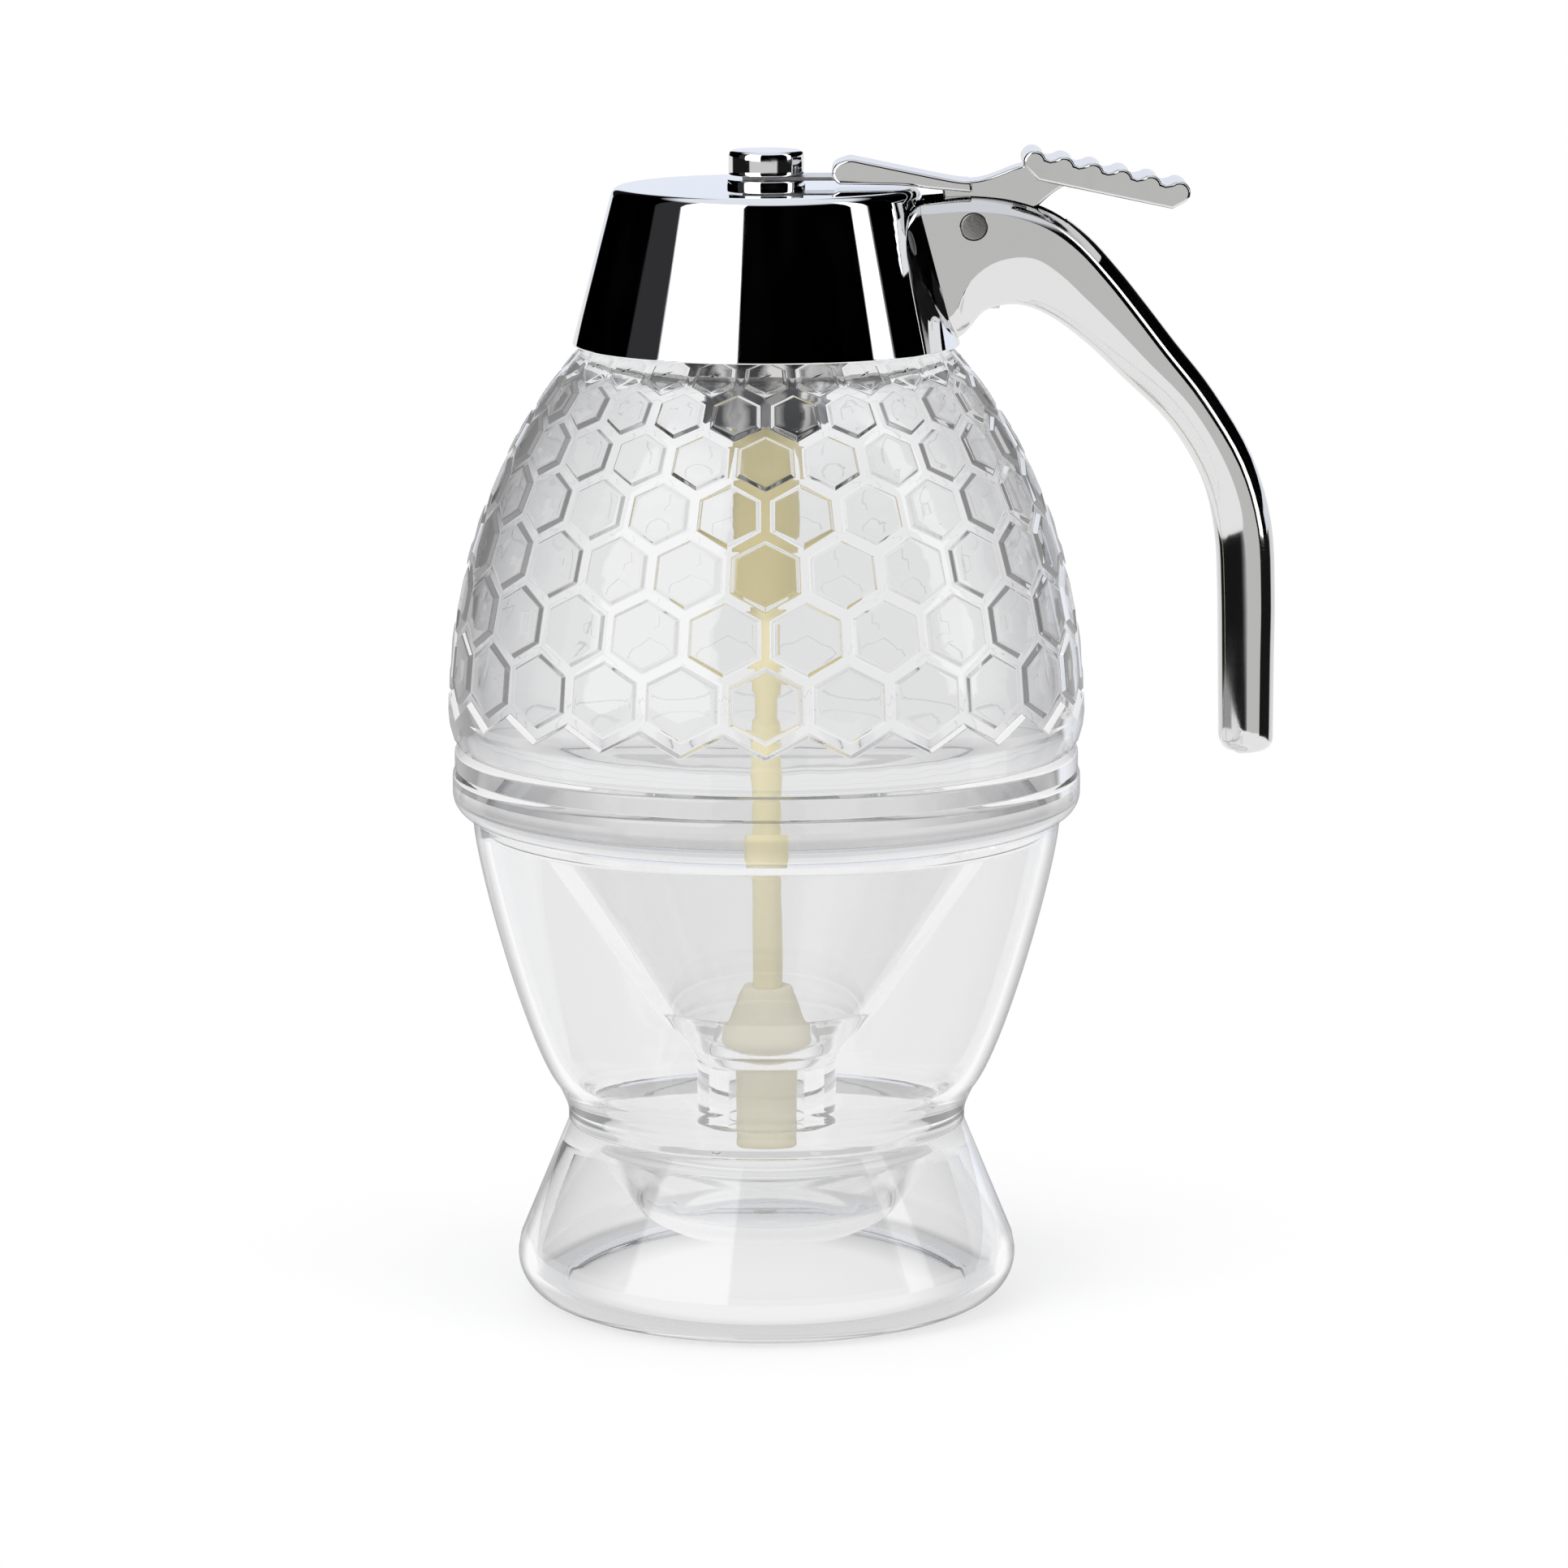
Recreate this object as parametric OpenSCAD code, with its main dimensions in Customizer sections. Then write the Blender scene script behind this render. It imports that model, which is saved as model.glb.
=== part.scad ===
// Honey dispenser: a clear honeycomb jar with a funnel outlet, closed from inside by a
// sprung stopper. A thumb lever on the chrome lid lifts the stopper by its rod, and the
// jar stands in a clear bowl whose waist catches the drips.
// Origin: on the jar's axis at table level. +Z is up, the handle is on +X.

/* [Stand] */
// Largest radius of the foot
foot_r = 32.6; // [30:0.1:38]
// Radius of the rounded lower edge of the foot
foot_round = 5.5; // [3:0.5:7]
// Radius of the opening under the foot
foot_opening_r = 26.5; // [20:0.5:27]
// Height of the waist where foot and bowl are bonded
waist_z = 23.4; // [20:0.1:28]
// Radius of the waist
waist_r = 25.9; // [24:0.1:28]
// Height of the bowl above the waist
bowl_h = 40.6; // [38:0.1:50]
// Radius of the bowl at its rim
rim_r = 38.1; // [37:0.1:42]
// Wall thickness of the stand
stand_wall = 1.8; // [1.2:0.1:2.4]
// Radius of the drip cup's floor corner
cup_r = 17.6; // [12:0.1:20]
// Height of the drip cup's floor corner above the table
cup_z = 9.6; // [6.5:0.1:11]
// Depth of the bowl's spigot inside the foot
spigot_h = 2.9; // [2:0.1:5]

/* [Funnel] */
// How far the funnel's rim stands out past the bowl's rim
flange_overhang = 2.6; // [2.2:0.1:4]
// Height of the funnel's rim
flange_h = 6; // [4:0.1:8]
// Rounding of the rim's lower edge
flange_round = 3; // [0.5:0.1:3]
// Wall thickness of the funnel
funnel_wall = 1.8; // [1.2:0.1:2.4]
// Width of the step between the lip and the cone
cone_step = 3.7; // [2.5:0.1:6]
// Height of the cone and its neck below the rim
funnel_depth = 42; // [38:0.5:46]
// Outer radius of the outlet neck
outlet_r = 9.1; // [8:0.1:11]
// Height of the outlet neck
outlet_h = 9; // [6:0.1:12]
// Radius of the outlet
outlet_bore_r = 5; // [4.6:0.1:6]
// Height of the lip that centres the funnel in the bowl
lip_h = 2; // [1:0.1:4]
// Play between the lip and the bowl
lip_gap = 0.3; // [0.2:0.05:0.5]

/* [Jar] */
// How far the plain band at the foot of the dome is set back from the funnel's rim
band_step = 0.3; // [0:0.05:0.8]
// Height of the plain band
band_h = 3; // [2:0.1:5]
// Depth of the groove between the band and the dome
band_groove = 0.8; // [0.3:0.1:1]
// How far the dome swells past the band
dome_bulge = 0.95; // [0.4:0.05:2]
// Height of the dome's widest place above the band
bulge_h = 6; // [4:0.1:8]
// Height of the dome from the band to its shoulder
dome_h = 53; // [50:0.5:60]
// Radius of the shoulder
shoulder_r = 22.4; // [21.5:0.1:23.2]
// Exponent of the dome's curve: 2 is an ellipse, less is more pointed
dome_curve = 1.84; // [1.6:0.01:2.2]
// Wall thickness of the dome, over the ridges
dome_wall = 2.3; // [1.8:0.1:3]
// Outer radius of the jar's neck
neck_r = 17.8; // [16:0.1:17.9]
// Height of the jar's neck
neck_h = 14.8; // [12:0.1:16]
// Wall thickness of the neck
neck_wall = 2; // [1.2:0.1:2.6]

/* [Honeycomb] */
// Cells around the jar
comb_cells = 24; // [18:2:30]
// Full rows of cells
comb_rows = 7; // [5:1:7]
// Height of a cell as a share of a regular hexagon
comb_squash = 0.89; // [0.8:0.01:0.9]
// Height of the cut centre row above the band
comb_start = 3.1; // [3:0.1:5]
// Width of the flat ridge between two pockets
ridge_w = 1.3; // [0.8:0.1:2]
// Depth of a pocket
pocket_depth = 0.7; // [0.3:0.05:1]
// Width of a pocket's sloping wall
pocket_run = 0.45; // [0.2:0.05:0.8]

/* [Lid] */
// Height of the lid
lid_h = 20.2; // [18:0.1:24]
// Depth by which the lid hides the dome's shoulder
lid_overlap = 1.1; // [0.5:0.1:1.5]
// Radius of the lid at its mouth
lid_r = 24.87; // [24.6:0.01:28]
// Radius of the lid at its top
lid_top_r = 19.6; // [19.5:0.1:22]
// Wall thickness of the lid
lid_wall = 1; // [0.8:0.1:1.2]
// Thickness of the lid's top
lid_top_t = 1.4; // [1:0.1:2]
// Rounding of the lid's top edge
lid_round = 1; // [0.4:0.1:1.5]
// Thickness of the silicone gasket
gasket_t = 1.5; // [1:0.1:2]
// Play between the jar's neck and the screw ring
thread_gap = 0.1; // [0.05:0.05:0.2]
// Height of the screw ring's mouth above the lid's mouth
ring_inset = 2.2; // [1.8:0.1:4]

/* [Handle] */
// Width of the handle
handle_w = 11; // [10:0.1:13]
// Distance from the lid's top edge to the handle's outer face
handle_reach = 46; // [42:0.5:52]
// Length of the handle below the lid's top
handle_drop = 72.9; // [66:0.1:80]
// Thickness of the grip
grip_t = 7.2; // [6:0.1:9]
// Play of the lever between the slot's cheeks
slot_gap = 0.3; // [0.2:0.05:0.5]
// Length of the slot past the pivot pin
slot_len = 12; // [11:0.1:14]
// Radius of the handle screws
screw_r = 1.2; // [1:0.1:1.5]
// Length of the screws' shanks
screw_len = 7.2; // [5:0.1:8]
// Distance of the upper screw below the lid's top
screw_drop = 10.6; // [10.4:0.1:12]
// Distance between the two screws
screw_pitch = 3.9; // [3.6:0.1:4.5]

/* [Lever] */
// Distance of the pivot pin from the lid's top edge
pin_ahead = 6.8; // [6:0.1:8]
// Depth of the pivot pin below the lid's top
pin_drop = 4.74; // [4.4:0.01:5.2]
// Radius of the pivot pin
pin_r = 1.75; // [1.2:0.05:1.9]
// Running play of the lever on the pin
pin_gap = 0.05; // [0.02:0.01:0.08]
// Radius of the lever's hub
hub_r = 3.2; // [2.6:0.1:3.2]
// Width of the lever inside the slot
stem_w = 5.6; // [4.5:0.1:6]
// Distance of the lever's nose inside the lid's top edge
nose_back = 11.2; // [10:0.1:12]
// Height of the lever's nose
nose_h = 3.75; // [3:0.05:4.5]
// Rounding of the lever's nose
nose_round = 1.5; // [1:0.1:1.7]
// Height of the lever's lowest place above the lid
dip_h = 0.9; // [0.6:0.05:1.2]
// Width of the lever's nose
nose_w = 8; // [6:0.1:10]
// Width of the thumb pad
pad_w = 11; // [9:0.1:13]
// Radius of a thumb ridge
bump_r = 1.45; // [1:0.05:1.6]
// Number of thumb ridges
bump_count = 6; // [5:1:6]
// Distance between two thumb ridges
bump_pitch = 3.76; // [3.4:0.01:3.8]
// Distance of the first thumb ridge from the lid's top edge
pad_ahead = 14.5; // [13:0.1:16]
// Height of the first thumb ridge above the lid
pad_rise = 3.45; // [3:0.05:4.5]
// Thickness of the thumb pad below its ridges' centres
pad_t = 2.2; // [1.6:0.1:3]
// Slope of the thumb pad
pad_slope = 12; // [8:0.5:14]
// Thickness of the lifting fork
fork_t = 0.45; // [0.3:0.05:0.8]
// Width of the lifting fork
fork_w = 7; // [6:0.1:7.5]

/* [Valve] */
// Radius of the knob
knob_r = 4.8; // [4:0.1:5.4]
// Height of the knob
knob_h = 3.15; // [2.5:0.05:4]
// Height of the bush above the lid
bush_h = 0.9; // [0.6:0.1:1.2]
// Radius of the bush
bush_r = 5; // [4.6:0.1:5.6]
// Play over and under the fork
fork_gap = 0.05; // [0.03:0.01:0.2]
// Radius of the rod
rod_r = 1.9; // [1.6:0.05:2.1]
// Running play of the rod in its guides
rod_gap = 0.08; // [0.03:0.01:0.1]
// Outer radius of the spring tube
tube_r = 8.05; // [7.5:0.05:9]
// Wall thickness of the spring tube
tube_wall = 0.9; // [0.6:0.1:1.2]
// Length of the spring tube below the lid's top
tube_drop = 30.6; // [29:0.1:34]
// Radius of the guide sleeve
sleeve_r = 4.3; // [3.8:0.1:5]
// Length of the guide sleeve below the tube
sleeve_h = 22.8; // [16:0.1:28]
// Radius of the spring, to the wire's centre
spring_r = 3.2; // [2.9:0.1:3.6]
// Thickness of the spring's wire
wire_d = 0.8; // [0.6:0.05:0.9]
// Coils of the spring
spring_coils = 8; // [6:1:9]
// Height of the rod's spring washer above the sleeve's flange
washer_lift = 3; // [2:0.1:4]
// Thickness of the spring washer
washer_t = 1; // [0.8:0.1:1.5]
// Largest radius of the stopper
stopper_r = 6; // [5.6:0.1:6.4]
// Height of the stopper's bell above the outlet neck
stopper_h = 10.4; // [9:0.1:12]
// Radius of the stopper's tip in the outlet
tip_r = 4; // [3:0.1:4.2]
// Length of the stopper's tip below the outlet neck
tip_drop = 4; // [1:0.1:6]
// Free height left between the stopper and its seat
seat_gap = 0.3; // [0.2:0.05:0.4]

/* [Hidden] */

cut = 0.5;                                   // how far a cutting shape reaches past its piece
lip_r = rim_r - stand_wall - lip_gap;        // lip of the funnel, inside the bowl's rim
cone_r = lip_r - cone_step;                  // cone of the funnel, under the lip
flange_r = rim_r + flange_overhang;          // rim of the funnel
band_r = flange_r - band_step;               // plain band of the dome
dome_r = band_r + dome_bulge;                // dome at its widest
rim_z = waist_z + bowl_h;                    // bowl's rim, under the funnel's flange
flange_z = rim_z + flange_h;                 // joint between funnel and dome
band_z = flange_z + band_h;                  // top of the plain band
widest_z = band_z + bulge_h;                 // dome's widest place
shoulder_z = band_z + dome_h;                // start of the jar's neck
neck_z = shoulder_z + neck_h;                // top of the jar's neck
lid_z = shoulder_z - lid_overlap;            // mouth of the lid
top_z = lid_z + lid_h;                       // top of the lid
lid_under_z = top_z - lid_top_t;             // underside of the lid's top
outlet_z = rim_z - funnel_depth;             // lower end of the outlet neck
cone_z = outlet_z + outlet_h;                // top of the outlet neck
seat_z = cone_z + 1.6;                       // where the seat meets the funnel's cone
pin_x = lid_top_r + pin_ahead;               // pivot pin
pin_z = top_z - pin_drop;
slot_w = stem_w + 2 * slot_gap;
groove_z = top_z + bush_h;                   // underside of the fork's gap
fork_z = groove_z + fork_gap;
knob_z = fork_z + fork_t + fork_gap;         // underside of the knob
tube_z = top_z - tube_drop;                  // lower end of the spring tube
sleeve_flange_h = 2.5;
washer_z = tube_z + sleeve_flange_h + washer_lift;
clip_t = 0.6;
fork_end = lid_top_r - nose_back + 0.75 * nose_w;   // end of the fork in the lever's nose
fork_back = 1.58 * rod_r;                    // how far the fork's open end passes the rod's axis
clip_groove_r = rod_r - 0.4;
bush_under_z = lid_under_z - 1.7;            // lower end of the bush, the spring's upper seat
bush_stem_r = bush_r - 1;
guide_r = rod_r + rod_gap;
stud_r = rod_r * 0.55;                       // knob's threaded stud in the rod
stud_h = 7;
rod_foot_z = cone_z + 2;                     // lower end of the rod, inside the stopper
$fn = 96;

function lerp(a, b, t) = a + (b - a) * t;

// points of a cubic curve through its end points a and d, pulled by b and c
function curve(a, b, c, d, steps) = [for (i = [0:steps]) let (t = i / steps)
    pow(1 - t, 3) * a + 3 * pow(1 - t, 2) * t * b + 3 * (1 - t) * t * t * c + t * t * t * d];

// points of an arc round c, from angle a0 to a1
function arc(c, r, a0, a1, steps) = [for (i = [0:steps]) let (a = lerp(a0, a1, i / steps))
    [c[0] + r * cos(a), c[1] + r * sin(a)]];

function reversed(list) = [for (i = [len(list) - 1:-1:0]) list[i]];

// ---------------------------------------------------------------- stand

// bowl wall from the waist up to the rim, w inside the outer face
function bowl_side(w) = curve([waist_r + 1.3 - 0.73 * w, waist_z + 4.75 + 0.68 * w],
                              [rim_r - 7 - 0.85 * w, waist_z + bowl_h * 0.22 + 0.5 * w],
                              [rim_r - w, waist_z + bowl_h * 0.86], [rim_r - w, rim_z], 12);

module stand_bowl() {
    waist_in = waist_r - stand_wall;
    cup_in = cup_r - stand_wall * 0.9;
    floor_z = cup_z - 2.4;
    outer = concat([[0, floor_z], [cup_r - 3, floor_z]],
                   arc([cup_r - 3, cup_z + 0.8], 3.2, -90, -30, 4),
                   [[waist_in, waist_z - spigot_h], [waist_in, waist_z], [waist_r, waist_z],
                    [waist_r, waist_z + 1.8]],
                   bowl_side(0));
    inner = concat([[0, floor_z + stand_wall], [cup_in - 3, floor_z + stand_wall]],
                   arc([cup_in - 2.6, cup_z + 2], 2.6, -80, -30, 4),
                   [[waist_in - stand_wall, waist_z - spigot_h + 0.6],
                    [waist_in - stand_wall * 0.2, waist_z + 2.6]],
                   bowl_side(stand_wall));
    color([0.9, 0.93, 0.95, 0.35])
        rotate_extrude() polygon(concat(outer, reversed(inner)));
}

module stand_foot() {
    waist_in = waist_r - stand_wall;
    edge = foot_r - foot_round;
    flare = [foot_r - 0.35, foot_round + 2.2];
    outer = concat([[waist_r, waist_z], flare], arc([edge, foot_round], foot_round, 10, -90, 8));
    inner = concat([[foot_opening_r, 0], [foot_opening_r, stand_wall]],
                   arc([edge, foot_round], foot_round - stand_wall, -90, 0, 6),
                   [[flare[0] - stand_wall, flare[1]], [waist_in + 0.4, waist_z - spigot_h - 1],
                    [waist_in, waist_z - spigot_h], [waist_in, waist_z]]);
    color([0.9, 0.93, 0.95, 0.35])
        rotate_extrude() polygon(concat(outer, inner));
}

// ---------------------------------------------------------------- jar

module funnel() {
    neck_in = outlet_bore_r;
    rim_in = band_r - dome_wall;
    knee = [outlet_r + 6.2, cone_z + 8];           // where the straight cone begins
    outer = concat([[neck_in, outlet_z], [outlet_r, outlet_z]],
                   curve([outlet_r, cone_z], [outlet_r + 0.4, cone_z + 2.4],
                         [outlet_r + 3.6, cone_z + 4.6], knee, 6),
                   [[cone_r - 1.2, rim_z - lip_h], [lip_r, rim_z - lip_h], [lip_r, rim_z]],
                   arc([flange_r - flange_round, rim_z + flange_round], flange_round, -90, 0, 6),
                   [[flange_r, flange_z - 0.8], [flange_r - 0.4, flange_z]]);
    inner = concat([[neck_in, seat_z - 1.2], [stopper_r + 0.9, seat_z + 0.6]],
                   curve([stopper_r + 0.9, seat_z + 0.6], [outlet_r + 0.4, cone_z + 4.2],
                         [outlet_r + 2.4, cone_z + 6.6], [knee[0] - funnel_wall * 0.95, knee[1] + 0.8], 6),
                   curve([cone_r - 1.9, rim_z - 0.2], [cone_r, rim_z + 1.9],
                         [rim_in, rim_z + 2.2], [rim_in, rim_z + 3.6], 5),
                   [[rim_in, flange_z]]);
    color([0.92, 0.93, 0.94, 0.35])
        rotate_extrude() polygon(concat(outer, reversed(inner)));
}

dome_b = (shoulder_z - widest_z) / pow(1 - pow(shoulder_r / dome_r, 2), 1 / dome_curve);
bulge_k = (dome_r - band_r + 0.3) / (bulge_h * bulge_h);

// radius of the dome at height z
function dome_at(z) = z > widest_z
    ? dome_r * sqrt(1 - pow((z - widest_z) / dome_b, dome_curve))
    : dome_r - bulge_k * pow(widest_z - z, 2);

function dome_slope(z) = (dome_at(z + 0.1) - dome_at(z - 0.1)) / 0.2;

// heights of the honeycomb's rows: one entry for each third of a row, from the cut row's centre up
comb_thirds = 3 * comb_rows + 2;
comb_table = [for (k = 0, z = band_z + comb_start; k <= comb_thirds;
                   z = z + comb_squash * sqrt(3) / 6 * 2 * PI * dome_at(z) / comb_cells
                           / sqrt(1 + pow(dome_slope(z), 2)),
                   k = k + 1) [k / 3 - 1, z]];
comb_cut = -0.9;                             // the lowest row is cut off just above its centre
comb_around = 2 * comb_cells;                // corners on one ring

function comb_z(v) = lookup(v, comb_table);

// a point of the dome: u counts cells round it from the front, v rows up it, d is the depth
function comb_point(u, v, d) = let (z = comb_z(v), s = dome_slope(z), n = sqrt(1 + s * s),
                                    r = dome_at(z) - d / n, a = u * 360 / comb_cells - 90)
    [r * cos(a), r * sin(a), z + d * s / n];

// row height of corner h on the zigzag under row j
function comb_v(j, h) = j < 0 ? comb_cut : j - ((h + j) % 2 == 0 ? 2 / 3 : 1 / 3);

// the six corners of the cell with centre corner h in row j, as [u, v]
function cell_corners(j, h) = [
    [(h - 1) / 2, comb_v(j, h - 1)], [h / 2, comb_v(j, h)], [(h + 1) / 2, comb_v(j, h + 1)],
    [(h + 1) / 2, comb_v(j + 1, h + 1)], [h / 2, comb_v(j + 1, h)], [(h - 1) / 2, comb_v(j + 1, h - 1)]];

// the same corners drawn in to leave a ridge of width w, at depth d
function cell_ring(j, h, w, d) = let (c = cell_corners(j, h),
                                      mid = [h / 2, (c[0][1] + c[1][1] + c[2][1] + c[3][1] + c[4][1] + c[5][1]) / 6],
                                      f = 1 - w / (2 * PI * dome_at(comb_z(mid[1])) / comb_cells))
    [for (p = c) comb_point(lerp(mid[0], p[0], f), lerp(mid[1], p[1], f), d)];

module jar_dome() {
    n = comb_around;
    in_r = band_r - dome_wall;
    mouth_r = neck_r - neck_wall;
    liner_top = shoulder_z - dome_wall * 0.9;
    bulge = [for (t = [0.25, 0.6]) let (z = lerp(band_z, comb_z(comb_cut), t)) [dome_at(z), z]];
    skin = [for (i = [0:8]) let (z = lerp(liner_top - 1.2, band_z + 1, i / 8)) [dome_at(z) - dome_wall, z]];
    // plain rings from the shoulder, in to the mouth, down the inside and out to the comb's lower edge
    plain = concat([[shoulder_r, shoulder_z], [mouth_r, shoulder_z], [mouth_r, liner_top]],
                   skin,
                   [[in_r, flange_z], [band_r, flange_z], [band_r, band_z - 0.5], [band_r - band_groove, band_z]],
                   bulge);
    comb_rings = [for (j = [-1:comb_rows]) for (h = [0:n - 1]) comb_point(h / 2, comb_v(j, h), 0)];
    plain_rings = [for (p = plain) for (h = [0:n - 1]) let (a = h * 360 / n - 90)
        [p[0] * cos(a), p[0] * sin(a), p[1]]];
    cells = [for (j = [-1:comb_rows - 1]) for (i = [0:comb_cells - 1]) let (h = 2 * i + abs(j % 2))
        concat(cell_ring(j, h, ridge_w, 0), cell_ring(j, h, ridge_w + 2 * pocket_run, pocket_depth))];
    first_plain = len(comb_rings);
    first_cell = first_plain + len(plain_rings);
    rings = concat([for (k = [0:len(plain) - 1]) first_plain + k * n], [0]);
    ring_faces = concat(
        [for (h = [0:n - 1]) let (a = (comb_rows + 1) * n, b = first_plain, g = (h + 1) % n)
            each [[a + h, b + h, b + g], [a + h, b + g, a + g]]],
        [for (k = [0:len(plain) - 1]) for (h = [0:n - 1]) let (a = rings[k], b = rings[k + 1], g = (h + 1) % n)
            each [[a + h, b + h, b + g], [a + h, b + g, a + g]]]);
    cell_faces = [for (q = [0:comb_rows]) for (i = [0:comb_cells - 1])
        let (h = 2 * i + (q + 1) % 2, c = first_cell + (q * comb_cells + i) * 12, low = q * n, high = low + n,
             edge = [low + (h + n - 1) % n, low + h, low + (h + 1) % n,
                     high + (h + 1) % n, high + h, high + (h + n - 1) % n])
        each concat(
            [for (k = [0:5]) let (m = (k + 1) % 6) each [[edge[k], c + k, c + m], [edge[k], c + m, edge[m]]]],
            [for (k = [0:5]) let (m = (k + 1) % 6) each [[c + k, c + 6 + k, c + 6 + m], [c + k, c + 6 + m, c + m]]],
            [for (k = [1:4]) [c + 6, c + 6 + k + 1, c + 6 + k]])];
    color([0.92, 0.93, 0.94, 0.35])
        polyhedron(concat(comb_rings, plain_rings, [for (c = cells) each c]),
                   concat(ring_faces, cell_faces), convexity = 10);
}

module jar_neck() {
    edge = neck_wall * 0.25;
    color([0.92, 0.93, 0.94, 0.35])
        translate([0, 0, shoulder_z])
            rotate_extrude()
                polygon([[neck_r - neck_wall, 0], [neck_r, 0], [neck_r, neck_h - edge], [neck_r - edge, neck_h],
                         [neck_r - neck_wall + edge, neck_h], [neck_r - neck_wall, neck_h - edge]]);
}

// ---------------------------------------------------------------- lid

function lid_at(z) = lerp(lid_r, lid_top_r, (z - lid_z) / lid_h);

module lid_gasket() {
    color([0.93, 0.93, 0.9])
        translate([0, 0, neck_z])
            difference() {
                cylinder(h = gasket_t, r = neck_r + thread_gap);
                translate([0, 0, -cut]) cylinder(h = gasket_t + 2 * cut, r = neck_r - neck_wall);
            }
}

module handle_screw_bores(r) {
    for (i = [0, 1])
        translate([0, 0, top_z - screw_drop - i * screw_pitch])
            rotate([0, 90, 0]) cylinder(h = lid_r + screw_len, r = r, $fn = 32);
}

module lid_shell() {
    corner = [lid_top_r - lid_round, top_z - lid_round];
    color([0.86, 0.87, 0.9])
        difference() {
            rotate_extrude()
                polygon(concat([[guide_r + 2.1 + rod_gap, top_z]], reversed(arc(corner, lid_round, 15, 90, 6)),
                               [[lid_r, lid_z], [lid_r - lid_wall, lid_z],
                                [lid_at(lid_under_z) - lid_wall, lid_under_z],
                                [guide_r + 2.1 + rod_gap, lid_under_z]]));
            handle_screw_bores(screw_r + 0.1);
        }
}

module screw_ring() {
    inner = neck_r + thread_gap;
    lower = lid_z + ring_inset;
    gasket_top = neck_z + gasket_t;
    color([0.9, 0.9, 0.88])
        difference() {
            rotate_extrude()
                polygon([[inner, lower], [lid_at(lower) - lid_wall, lower],
                         [lid_at(lid_under_z) - lid_wall, lid_under_z], [neck_r - 4, lid_under_z],
                         [neck_r - 4, gasket_top], [inner, gasket_top]]);
            handle_screw_bores(2.8);
        }
}

module rod_bush() {
    color([0.86, 0.87, 0.9])
        rotate_extrude()
            polygon([[guide_r, bush_under_z], [guide_r + 2.1, bush_under_z], [guide_r + 2.1, top_z],
                     [bush_r, top_z], [bush_r, groove_z - 0.2], [bush_r - 0.2, groove_z], [guide_r, groove_z]]);
}

module spring_tube() {
    flange = tube_r + 2.2;
    inner = tube_r - tube_wall;
    color([0.86, 0.87, 0.9])
        rotate_extrude()
            polygon([[inner, tube_z], [tube_r, tube_z], [tube_r, lid_under_z - 1.2], [flange, lid_under_z - 1.2],
                     [flange, lid_under_z], [inner, lid_under_z]]);
}

module guide_sleeve() {
    seat = tube_r - tube_wall;
    low = tube_z - sleeve_h;
    color([0.9, 0.87, 0.74])
        rotate_extrude()
            polygon([[guide_r, low], [sleeve_r - 0.3, low], [sleeve_r, low + 0.3], [sleeve_r, tube_z],
                     [seat, tube_z], [seat, tube_z + sleeve_flange_h], [guide_r, tube_z + sleeve_flange_h]]);
}

// Stations of the handle, from inside the lid to the tip. Each holds the outer point, the inner
// point, and how far across the side's edge lies; x runs from the lid's top edge, z from its top.
handle_end = [handle_reach, -handle_drop];
handle_stations = [
    [[-5.6, -1.7],              [0.4, -20.4],             0.93],
    [[2.6, -0.95],              [4.6, -19.4],             0.82],
    [[7.0, -0.8],               [6.2, -18.2],             0.63],
    [[12.1, -1.4],              [8.2, -15.9],             0.545],
    [[17.2, -3.2],              [11.3, -15.0],            0.485],
    [[21.5, -6.3],              [14.3, -15.4],            0.51],
    [[25.4, -10.5],             [17.8, -17.2],            0.545],
    [[28.8, -14.7],             [21.9, -20.4],            0.55],
    [[32.9, -20.0],             [26.0, -24.3],            0.53],
    [[37.8, -26.2],             [32.1, -30.3],            0.5],
    [[42.8, -34.5],             [36.4, -37.4],            0.51],
    [[handle_reach - 0.6, -43], [handle_reach - 0.6 - grip_t, -44.3], 0.48],
    [[handle_reach, -52],       [handle_reach - grip_t - 0.1, -52],   0.47],
    [handle_end + [0, 12],      handle_end + [-grip_t + 0.1, 12],     0.47],
    [handle_end + [0, 1.6],     handle_end + [-grip_t + 0.3, 1.6],    0.47]];

// a smooth curve through a list of values, at position t
function through(list, t) = let (
    last = len(list) - 1, i = min(floor(t), last - 1), f = t - i,
    a = list[max(i - 1, 0)], b = list[i], c = list[i + 1], d = list[min(i + 2, last)])
    0.5 * (2 * b + (c - a) * f + (2 * a - 5 * b + 4 * c - d) * f * f + (3 * b - a - 3 * c + d) * f * f * f);

// half of the handle's section: s across from the outer point, y out to the side
function handle_half(len_s, edge, w) = [
    [0, 0], [0.12, w * 0.36], [0.55, w * 0.66], [1.3, w * 0.87], [2.2, w], [max(edge, 2.5), w],
    [lerp(max(edge, 2.5), len_s, 0.62), w * 0.73], [len_s - 0.3, w * 0.5], [len_s, w * 0.22]];

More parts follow.
